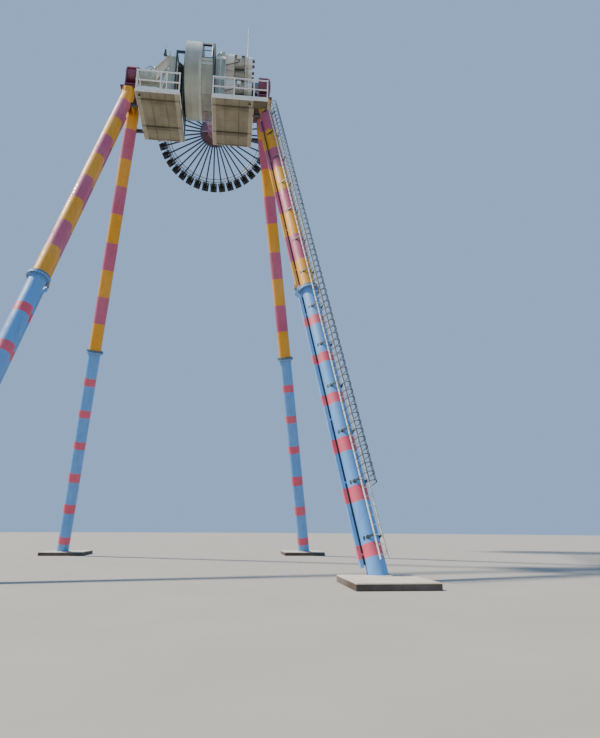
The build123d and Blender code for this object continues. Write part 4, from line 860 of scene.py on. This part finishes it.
class RIDE_OT_case_fittings(bpy.types.Operator):
    """Covers, bolts and small fittings of both gear cases, and the platform's aerial"""

    bl_idname = "ride.case_fittings"
    bl_label = "Gear case fittings"

    def execute(self, context):
        bm, heads, dark = blank(3)
        self.right_case(bm, heads)
        self.left_case(bm, heads, dark)
        self.sleeve(bm, heads, dark)
        publish(bm, "gear_case_covers", "drive_grey_paint")
        publish(heads, "gear_case_bolts", FASTENER)
        publish(dark, "gear_case_small_parts", "dark_steel")
        return {"FINISHED"}

    def right_case(self, bm, heads):
        """Bolted covers either side of the split line, and an oil hood on the crown with its breather."""
        covers = product(((0.02, 0.21), (0.27, 0.46)), ((21.62, 22.55), (22.65, 23.6), (23.7, 24.84)), BOTH)
        for (near, far), (low, high), y in covers:
            slab(bm, (CASE_X + near, y * 0.598, low), (CASE_X + far, y * 0.618, high), 0.006)
            rows = (low + 0.06, (low + high) / 2, high - 0.06)
            studs(heads, (CASE_X + near + 0.03, CASE_X + far - 0.03), [y * 0.618], rows, (0, y, 0), 0.010, 0.012)
        slab(bm, (0.87, -0.2, 25.36), (1.05, 0.2, 25.62), 0.05, 3)
        slab(bm, (1.03, -0.2, 25.36), (1.3, 0.2, 25.72), 0.07, 3)
        turned(bm, [(0.0, 0.14), (0.06, 0.135), (0.105, 0.1), (0.125, 0.05), (0.13, 0.0), (0.0, 0.0)],
               at(1.16, 0, 25.7), 28, False)
        for x in (0.94, 1.22):
            band(bm, 0.03, 0.052, -0.012, 0.012, placed((x, 0.08, 25.455), (1, 0, 0)), 20)
        face = placed((CASE_X, 0, AXLE.z), (-1, 0, 0))
        band(bm, 0.262, 0.36, -0.004, 0.03, face)
        bolts(heads, face @ at(0, 0, 0.03), 0.315, 14, 0.014, 0.018)

    def left_case(self, bm, heads, dark):
        """Edge frames and crown covers, and the aerial on its arm."""
        for y in (-0.524, 0.524):
            slab(bm, (-1.49, y * 0.99, 21.6), (-1.2, y, 24.6), 0.004)
            studs(heads, (-1.47, -1.22), [y], (21.75, 22.4, 23.05, 23.7, 24.35), (0, y, 0), 0.010, 0.012)
        for y in (-0.2, 0.2):
            slab(bm, (-1.42, y - 0.07, 24.94), (-1.27, y + 0.07, 24.985), 0.008)
        for start, end, radius, tip in (
                ((-1.36, -0.45, 24.8), (-1.78, -0.5, 24.86), 0.026, None),
                ((-1.36, -0.3, 24.7), (-1.74, -0.5, 24.84), 0.02, None),
                ((-1.75, -0.5, 24.72), (-1.75, -0.5, 25.4), 0.018, 0.008),
                ((-1.5, -0.46, 24.84), (-1.5, -0.46, 25.16), 0.014, None),
                ((-1.28, -0.36, 24.92), (-1.28, -0.36, 25.14), 0.014, None)):
            bar(dark, start, end, radius, 8, tip)
        slab(dark, (-1.83, -0.56, 24.84), (-1.68, -0.44, 25.02), 0.015)
        turned(dark, [(0.0, 0.0), (0.05, 0.0), (0.06, 0.06), (0.02, 0.1), (0.0, 0.1)],
               at(-1.75, -0.5, 25.1), 12, False)

    def sleeve(self, bm, heads, dark):
        """Bolted collar, lifting hoop and grease pump of the shaft's sleeve."""
        collar = placed((-2.99, 0, AXLE.z), (1, 0, 0))
        bolts(heads, collar, 0.415, 18, 0.014, 0.02)
        band(bm, 0.388, 0.41, 0.45, 0.50, collar, 56)
        band(bm, 0.391, 0.43, -0.005, 0.02, placed((-2.07, 0, AXLE.z), (-1, 0, 0)))
        band(dark, 0.11, 0.135, -0.014, 0.014, placed((-2.25, -0.12, AXLE.z + 0.48), (0.3, 1, 0)), 24)
        bar(dark, (-2.25, -0.12, AXLE.z + 0.33), (-2.25, -0.12, AXLE.z + 0.38), 0.03, 10)
        for x in (-2.5, -2.42):
            bar(dark, (x, -0.15, AXLE.z + 0.34), (x, -0.15, AXLE.z + 0.5), 0.018, 8)
        # Two grease reservoirs stand on the pump's box, and a pipe leads from them.
        slab(bm, (-2.36, -0.2, AXLE.z + 0.3), (-2.02, 0.1, AXLE.z + 0.42), 0.012)
        for x in (-2.26, -2.1):
            turned(bm, [(0.0, 0.0), (0.065, 0.0), (0.065, 0.2), (0.045, 0.25), (0.0, 0.26)],
                   at(x, -0.08, AXLE.z + 0.41), 20, False)
        pipe = [(-2.26, -0.14, AXLE.z + 0.46), (-2.5, -0.24, AXLE.z + 0.56), (-2.74, -0.2, AXLE.z + 0.36)]
        piped(dark, softened(pipe, 0.12), 0.016, 8)
        studs(heads, (-1.98, -1.79, -1.6), (-0.252, 0.252), [AXLE.z + 0.34], UP, 0.014, 0.018)
        studs(heads, [-2.07], (-0.36, 0.36), [AXLE.z + 0.2], (-1, 0, 0), 0.014, 0.018)


class RIDE_OT_cable_frame(bpy.types.Operator):
    """Cables clipped to the frame between the left case and the drum"""

    bl_idname = "ride.cable_frame"
    bl_label = "Cable frame"

    def execute(self, context):
        bm, clips, loom = blank(3)
        x = FRAME_X - 0.057
        # The cables of the slip ring hang side by side, so the frame reads as closed below its top bay.
        for index in range(21):
            y, top = -0.82 + 0.082 * index, 24.1 - 0.11 * (index % 3)
            cable = [(x, y, DECK_TOP), (x, y, top), (x + 0.06, y + 0.05, top + 0.1)]
            piped(bm, softened(cable, 0.08), 0.036, 8)
        # Thicker cables hang at the front of the frame and turn back into the row.
        for index in range(7):
            out, y, top = -1.02 + 0.045 * index, -0.82 + 0.04 * index, 24.26 - 0.05 * index
            cable = [(out, y, DECK_TOP), (out, y, top), (x, y + 0.4, top + 0.04)]
            piped(loom, softened(cable, 0.12), 0.03, 8)
        for z in (21.9, 22.65, 23.3, 23.8):
            slab(clips, (x - 0.042, -0.87, z - 0.02), (FRAME_X - 0.03, 0.87, z + 0.02), 0.004)
        for y in (-0.9, 0.9):
            slab(clips, (-1.18, y - 0.07, DECK_TOP), (-1.04, y + 0.07, DECK_TOP + 0.012), 0.002)
            slab(clips, (FRAME_X - 0.035, y - 0.06, 20.88), (FRAME_X + 0.045, y + 0.06, 20.9), 0.002)
        slab(clips, (-1.15, -0.93, 24.68), (-0.72, -0.9, 24.79), 0.008)
        publish(bm, "cable_pipes", ("rubber", "teal_paint"))
        publish(loom, "cable_loom", ("rubber", "teal_paint"))
        publish(clips, "cable_clips", "teal_paint")
        return {"FINISHED"}


class RIDE_OT_drum_panels(bpy.types.Operator):
    """Seams, rims, rivets and the window frame of the pendulum head"""

    bl_idname = "ride.drum_panels"
    bl_label = "Drum panels"

    def execute(self, context):
        self.rings()
        self.struts()
        self.window()
        seams, heads = blank(2)
        for angle in range(12, 360, 45):
            turn = DRUM_AXIS @ spun(angle)
            brick(seams, (0.008, 0.05, 0.68), turn @ at(DRUM_RADIUS - 0.0015, 0, -0.235), 0.002)
            if not WINDOW[0] < angle < WINDOW[1]:
                brick(seams, (0.008, 0.05, 0.53), turn @ at(COVER_RADIUS - 0.0015, 0, 0.485), 0.002)
            for index, shift in product(range(6), (-0.008, 0.008)):
                pair = turn @ spun(math.degrees(shift)) @ at(DRUM_RADIUS + 0.002, 0, -0.53 + 0.115 * index)
                self.rivet(heads, pair, (0.006, 0, 0))
        for index in range(72):
            turn = DRUM_AXIS @ spun(5 * index)
            for x, side in DRUM_ENDS:
                self.rivet(heads, turn @ at(1.82, 0, x), (0, 0, 0.006 * side))
            self.rivet(heads, turn @ at(DRUM_RADIUS + 0.001, 0, DRUM_SEAM - 0.05), (0.006, 0, 0))
        for x, side in DRUM_ENDS:
            for index in range(12):
                turn = DRUM_AXIS @ spun(30 * index + 12)
                brick(seams, (0.56, 0.05, 0.012), turn @ at(0.92, 0, x), 0.003)
                brick(seams, (0.54, 0.05, 0.012), turn @ at(1.52, 0, x), 0.003)
            circle = DRUM_AXIS @ at(0, 0, x + side * 0.001) @ spun(0 if side > 0 else 180, "X")
            bolts(heads, circle, 0.42, 20, 0.022, 0.026)
        publish(seams, "drum_seams", "drum_grey_paint", "pendulum")
        publish(heads, "drum_rivets", ("fastener", "drum_grey_paint"), "pendulum")
        return {"FINISHED"}

    def rivet(self, bm, spot, rise):
        """Low head standing out from the sheet."""
        bar(bm, spot.translation, spot @ Vector(rise), sizes().rivet, 6)

    def rings(self):
        """Raised rims of the drum and the rings of the two end discs."""
        rims, flange = blank(2)
        low, high = DRUM_RADIUS - 0.006, DRUM_RADIUS + 0.0015
        band(rims, low, high, DRUM_LEFT, DRUM_LEFT + 0.03, DRUM_AXIS, 120)
        band(flange, low, high, DRUM_SEAM - 0.13, DRUM_SEAM, DRUM_AXIS, 120)
        for (x, side), radius in product(DRUM_ENDS, (0.62, 1.21, 1.78)):
            band(rims, radius, radius + 0.03, x, x + side * 0.008, DRUM_AXIS, 96)
        publish(rims, "drum_rims", "drum_grey_paint", "pendulum")
        publish(flange, "drum_seam_flange", ("light_panel", "drum_grey_paint"), "pendulum")

    def window(self):
        """Hoop round the window and its roof strip, nearly black as painted shade, and the slats along its lower
        edge.
        """
        hoop, slats = blank(2)
        edge = [DRUM_AXIS @ spun(WINDOW[0] + 4 * step) @ Vector((COVER_RADIUS - 0.02, 0, 0.725))
                for step in range(27)]
        piped(hoop, edge, 0.044, 8)
        for angle, depth, radius, sides in ((WINDOW[0], 0.03, 0.038, 8), (WINDOW[1], 0.03, 0.038, 8),
                                            (104, 0.07, 0.062, 10)):
            ends = [DRUM_AXIS @ spun(angle) @ Vector((COVER_RADIUS - depth, 0, x)) for x in (DRUM_SEAM, 0.74)]
            piped(hoop, ends, radius, sides)
        for angle in range(84, 109, 5):
            brick(hoop, (0.012, 0.165, 0.54), DRUM_AXIS @ spun(angle) @ at(COVER_RADIUS - 0.012, 0, 0.48), 0.002)
        for angle in (156, 162):
            brick(slats, (0.03, 0.13, 0.52), DRUM_AXIS @ spun(angle) @ at(COVER_RADIUS + 0.008, 0, 0.48), 0.008)
        publish(hoop, "window_hoop", ("dark_panel_painted_shade", "drum_grey_paint"), "pendulum")
        publish(slats, "window_slats", ("light_panel", "drum_grey_paint"), "pendulum")

    def struts(self):
        """Struts that cross the lower panel, each from an angle and x to another."""
        bm = bmesh.new()
        for start, end in (((236, 0.42), (298, 0.26)), ((236, 0.44), (298, 0.66)), ((240, 0.72), (300, 0.73)),
                           ((262, 0.34), (262, 0.56))):
            steps = [Vector(start).lerp(Vector(end), step / 8) for step in range(9)]
            path = [DRUM_AXIS @ spun(angle) @ Vector((COVER_RADIUS + 0.012, 0, x)) for angle, x in steps]
            piped(bm, path, 0.034, 6)
        publish(bm, "cover_struts", ("arm_pink_paint", "drum_grey_paint"), "pendulum")


class RIDE_OT_arm_fittings(bpy.types.Operator):
    """Hatches, step irons and bolts of the arm and its foot"""

    bl_idname = "ride.arm_fittings"
    bl_label = "Arm fittings"

    def execute(self, context):
        plates, heads, dark = blank(3)
        x = HANGING.x
        for index in range(40):
            share = (index + 0.5) / 40
            z = 21.7 - 16.0 * share
            half = (0.86 - 0.291 * share) / 2
            iron = [(x - 0.14, half - 0.005, z), (x - 0.14, half + 0.035, z),
                    (x + 0.14, half + 0.035, z), (x + 0.14, half - 0.005, z)]
            piped(dark, softened(iron, 0.02, 2), 0.009, 6)
        for (z, half), y in product(((20.2, 0.41), (13.0, 0.34)), BOTH):
            face = y * (half + 0.022)
            slab(plates, (x - 0.2, y * half, z - 0.35), (x + 0.2, face, z + 0.35), 0.006)
            for px, pz in product((-0.16, 0, 0.16), (-0.31, 0, 0.31)):
                if px or pz:
                    bolt(heads, (x + px, face, z + pz), (0, y, 0), 0.010, 0.012)
        flange = at(x, 0, HANGING.z + 0.766)
        bolts(heads, flange, 0.53, 32, 0.014, 0.02)
        for index in range(8):
            brick(plates, (0.09, 0.16, 0.012), flange @ spun(45 * index) @ at(0.5, 0, 0.004), 0.003)
        publish(plates, "arm_hatches", "arm_pink_paint", "pendulum")
        publish(heads, "arm_bolts", ("fastener", "shaft_steel"), "pendulum")
        publish(dark, "arm_step_irons", "spoke_dark_paint", "pendulum")
        return {"FINISHED"}


class RIDE_OT_hub_and_rings(bpy.types.Operator):
    """Rim band, covers and bolts of the hub, light tubes, clamps and seat struts of the wheel"""

    bl_idname = "ride.hub_and_rings"
    bl_label = "Hub and rings"

    def execute(self, context):
        rim, heads, tubes, clamps = blank(4)
        hub = Matrix.Translation(HANGING)
        turned(rim, [(1.098, -0.075), (1.108, -0.075), (1.112, 0), (1.108, 0.075), (1.098, 0.075)], hub, 96)
        turned(rim, [(0.0, -0.515), (0.0, -0.505), (0.60, -0.505), (0.64, -0.495), (0.64, -0.51), (0.6, -0.53)],
               hub, 64, False)
        bolts(heads, hub @ at(0, 0, -0.53) @ spun(180, "X"), 0.56, 24, 0.014, 0.018)
        for index in range(SEATS):
            turn = hub @ spun(360 * index / SEATS)
            for side in BOTH:
                brick(clamps, (0.10, 0.024, 0.12), turn @ at(1.15, side * 0.069, 0), 0.004)
                for z in (-0.035, 0.035):
                    out = turn.to_3x3() @ Vector((0, side, 0))
                    bolt(heads, turn @ Vector((1.165, side * 0.081, z)), out, 0.010, 0.012)
                for low, high in ((0.03, 0.16), (-0.03, -0.2)):
                    strut = [turn @ Vector((3.97, side * 0.152, low)), turn @ Vector((4.085, side * 0.19, high))]
                    piped(tubes, strut, 0.018, 6)
            for radius in RINGS:
                brick(clamps, (0.12, 0.13, 0.104), turn @ at(radius, 0, 0), 0.012)
        for radius in RINGS:
            circle = [math.pi * step / 5 for step in range(10)]
            turned(tubes, [(radius + 0.048 * math.cos(a), 0.048 * math.sin(a)) for a in circle], hub, 160)
        publish(rim, "hub_rim_band", ("drum_grey_paint", "arm_pink_paint"), "gondola")
        publish(heads, "hub_bolts", ("fastener", "spoke_dark_paint"), "gondola")
        publish(clamps, "ring_clamps", "spoke_dark_paint", "gondola")
        publish(tubes, "ring_tubes", ("ring_grey", "spoke_dark_paint"), "gondola")
        return {"FINISHED"}


class RIDE_OT_seats(bpy.types.Operator):
    """Forty moulded seats with their pads and closed shoulder bars"""

    bl_idname = "ride.seats"
    bl_label = "Seats"

    def execute(self, context):
        shells, pads, bars = blank(3)
        for index in range(SEATS):
            spot = Matrix.Translation(HANGING) @ spun(360 * index / SEATS) @ at(SEAT_RADIUS, 0, 0)
            self.shell(shells, spot)
            self.padding(pads, spot)
            self.restraint(bars, pads, spot)
        publish(shells, "seat_shells", "seat_shell", "gondola", replaces=("seat_backs", "seat_pans"))
        soft = publish(pads, "seat_pads", "restraint_padding", "gondola", 60)
        publish(bars, "shoulder_bars", ("ring_grey", "restraint_padding"), "gondola",
                replaces=("seat_restraints",))
        return {"FINISHED"}

    def shell(self, bm, spot):
        """Back, head rest, block behind, pan, knee horn, wings and skirts of one seat."""
        for size, place, ease, segments in (
                ((0.075, 0.52, 0.70), (0.045, 0, 0.03), 0.03, 2), ((0.075, 0.34, 0.30), (0.045, 0, 0.49), 0.03, 2),
                ((0.10, 0.12, 0.12), (-0.025, 0, 0), 0.01, 1), ((0.688, 0.52, 0.07), (0.354, 0, -0.387), 0.025, 2),
                ((0.10, 0.16, 0.15), (0.64, 0, -0.335), 0.03, 2)):
            brick(bm, size, spot @ at(*place), ease, segments)
        for side in BOTH:
            y = side * (SEAT_HALF - 0.032)
            brick(bm, (0.17, 0.05, 0.66), spot @ at(0.135, y, 0.02) @ spun(3.44 * side), 0.02, 2)
            brick(bm, (0.64, 0.045, 0.13), spot @ at(0.36, y, -0.35), 0.018, 2)

    def padding(self, bm, spot):
        """Cushions of the back, head and pan."""
        pillow(bm, (0.07, 0.40, 0.50), spot @ at(0.105, 0, 0.02))
        pillow(bm, (0.07, 0.28, 0.22), spot @ at(0.105, 0, 0.48))
        pillow(bm, (0.50, 0.42, 0.07), spot @ at(0.34, 0, -0.345))

    def restraint(self, bars, pads, spot):
        """Bar over each shoulder with its foam sleeve and grip, joined by a chest pad."""
        for side in BOTH:
            y = side * 0.165
            over = [(0.07, y, 0.454), (0.46, y, 0.514), (0.51, y, 0.354), (0.51, y * 0.95, -0.03)]
            sleeve = [(0.24, y, 0.482), (0.46, y, 0.512), (0.51, y, 0.354), (0.51, y, 0.16)]
            grip = [(0.51, side * 0.185, -0.02), (0.535, side * 0.185, -0.08), (0.535, side * 0.10, -0.08)]
            piped(bars, [spot @ p for p in softened(over, 0.09)], 0.022, 8)
            piped(pads, [spot @ p for p in softened(sleeve, 0.09)], 0.036, 8)
            piped(bars, [spot @ Vector(p) for p in grip], 0.012, 6)
        pillow(pads, (0.09, 0.42, 0.25), spot @ at(0.50, 0, 0.06))


class RIDE_OT_lamp_and_mast(bpy.types.Operator):
    """Bolts and joints of the lamp and the mast"""

    bl_idname = "ride.lamp_and_mast"
    bl_label = "Lamp and mast"

    def execute(self, context):
        bm = bmesh.new()
        low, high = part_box("beacon_lamp")
        x, y, _ = (low + high) / 2
        foot = DECK_TOP + 0.012
        band(bm, 0.168, 0.182, 0, 0.02, at(x, y, high.z - 0.175), 40)
        for ear in (x - 0.13, x + 0.13):
            slab(bm, (ear - 0.03, y - 0.05, DECK_TOP), (ear + 0.03, y + 0.05, foot), 0.003)
            bolt(bm, (ear, y, foot), UP, 0.010, 0.012)
        low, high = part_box("lightning_mast")
        x, y, _ = (low + high) / 2
        for height in (0.5, 1.0, 1.5):
            band(bm, 0.012, 0.034, -0.03, 0.03, at(x, y, low.z + height), 16)
        bar(bm, (x, y, high.z - 0.02), (x, y, high.z + 0.17), 0.014, 10, 0.004)
        bolts(bm, at(x, y, low.z + 0.06), 0.065, 4, 0.010, 0.012)
        publish(bm, "lamp_and_mast_fittings", "ladder_zinc")
        return {"FINISHED"}


class RIDE_OT_stage(bpy.types.Operator):
    """Pale floor, soft light and the camera"""

    bl_idname = "ride.stage"
    bl_label = "Stage"

    def execute(self, context):
        self.floor()
        self.light()
        self.camera(context)
        return {"FINISHED"}

    def floor(self):
        """Wide disc of pale plaster."""
        bm = bmesh.new()
        bmesh.ops.create_circle(bm, cap_ends=True, segments=96, radius=140)
        mesh = bpy.data.meshes.new("floor")
        bm.to_mesh(mesh)
        bm.free()
        material = bpy.data.materials.new("pale plaster floor")
        material.use_nodes = True
        tree = material.node_tree
        shader = tree.nodes["Principled BSDF"]
        noise = add(tree, "TexNoise", None, {"Vector": place(tree), "Scale": 0.4, "Detail": 5.0})
        tone = add(tree, "Mix", BLEND, {0: noise.outputs[0], 6: linear("#a3a09a"), 7: linear("#97948e")})
        tree.links.new(tone.outputs[2], shader.inputs["Base Color"])
        shader.inputs["Roughness"].default_value = 0.85
        mesh.materials.append(material)
        floor = bpy.data.objects.new("floor", mesh)
        bpy.context.scene.collection.objects.link(floor)

    def light(self):
        """High sun from the left, a little behind the ride, and an even pale blue sky."""
        sun = bpy.data.lights.new("key", "SUN")
        sun.energy = 7.2
        sun.angle = math.radians(4)
        sun.color = linear("#fff3e0")
        lamp = bpy.data.objects.new("key", sun)
        lamp.matrix_world = placed((0, 0, 40), (-0.60, 0.12, 0.79))
        bpy.context.scene.collection.objects.link(lamp)
        world = bpy.data.worlds.new("pale sky")
        world.use_nodes = True
        background = world.node_tree.nodes["Background"]
        background.inputs[0].default_value = (*linear("#a3c6ef"), 1)
        background.inputs[1].default_value = 0.85
        bpy.context.scene.world = world

    def camera(self, context):
        """Standing eye in front of the ride, looking up."""
        pitch, yaw, roll = (math.radians(angle) for angle in EYE_TURN)
        forward = Vector((math.sin(yaw) * math.cos(pitch), math.cos(yaw) * math.cos(pitch), math.sin(pitch)))
        level = Vector((math.cos(yaw), -math.sin(yaw), 0))
        up = level.cross(forward)
        right = level * math.cos(roll) + up * math.sin(roll)
        above = up * math.cos(roll) - level * math.sin(roll)
        data = bpy.data.cameras.new("view")
        data.lens = sizes().lens
        data.sensor_width = 36
        data.clip_end = 500
        camera = bpy.data.objects.new("view", data)
        turn = Matrix((right, above, -forward)).transposed().to_4x4()
        camera.matrix_world = Matrix.Translation(EYE) @ turn
        context.scene.collection.objects.link(camera)
        context.scene.camera = camera


OPERATORS = (
    RIDE_OT_paint_nodes, RIDE_OT_leg_fastenings, RIDE_OT_ladder_fittings, RIDE_OT_bearing_fittings,
    RIDE_OT_platform_trim, RIDE_OT_rail_fittings, RIDE_OT_motor_fittings, RIDE_OT_case_fittings,
    RIDE_OT_cable_frame, RIDE_OT_drum_panels, RIDE_OT_arm_fittings, RIDE_OT_hub_and_rings, RIDE_OT_seats,
    RIDE_OT_lamp_and_mast, RIDE_OT_stage,
)


class RIDE_PT_panel(bpy.types.Panel):
    """Lists the steps that finish the ride"""

    bl_idname = "RIDE_PT_panel"
    bl_label = "Pendulum ride"
    bl_space_type = "VIEW_3D"
    bl_region_type = "UI"
    bl_category = "Ride"

    def draw(self, context):
        for settings in (context.scene.ride_paint, context.scene.ride_sizes):
            for name in settings.__annotations__:
                self.layout.prop(settings, name)
        for operator in OPERATORS:
            self.layout.operator(operator.bl_idname)


CLASSES = (PaintSettings, SizeSettings, *OPERATORS, RIDE_PT_panel)


def register():
    for item in CLASSES:
        bpy.utils.register_class(item)
    bpy.types.Scene.ride_paint = bpy.props.PointerProperty(type=PaintSettings)
    bpy.types.Scene.ride_sizes = bpy.props.PointerProperty(type=SizeSettings)


def unregister():
    del bpy.types.Scene.ride_sizes
    del bpy.types.Scene.ride_paint
    for item in reversed(CLASSES):
        bpy.utils.unregister_class(item)


def main():
    """Register the steps and run them in order."""
    register()
    for operator in OPERATORS:
        family, step = operator.bl_idname.split(".")
        getattr(getattr(bpy.ops, family), step)()


if __name__ == "__main__":
    main()
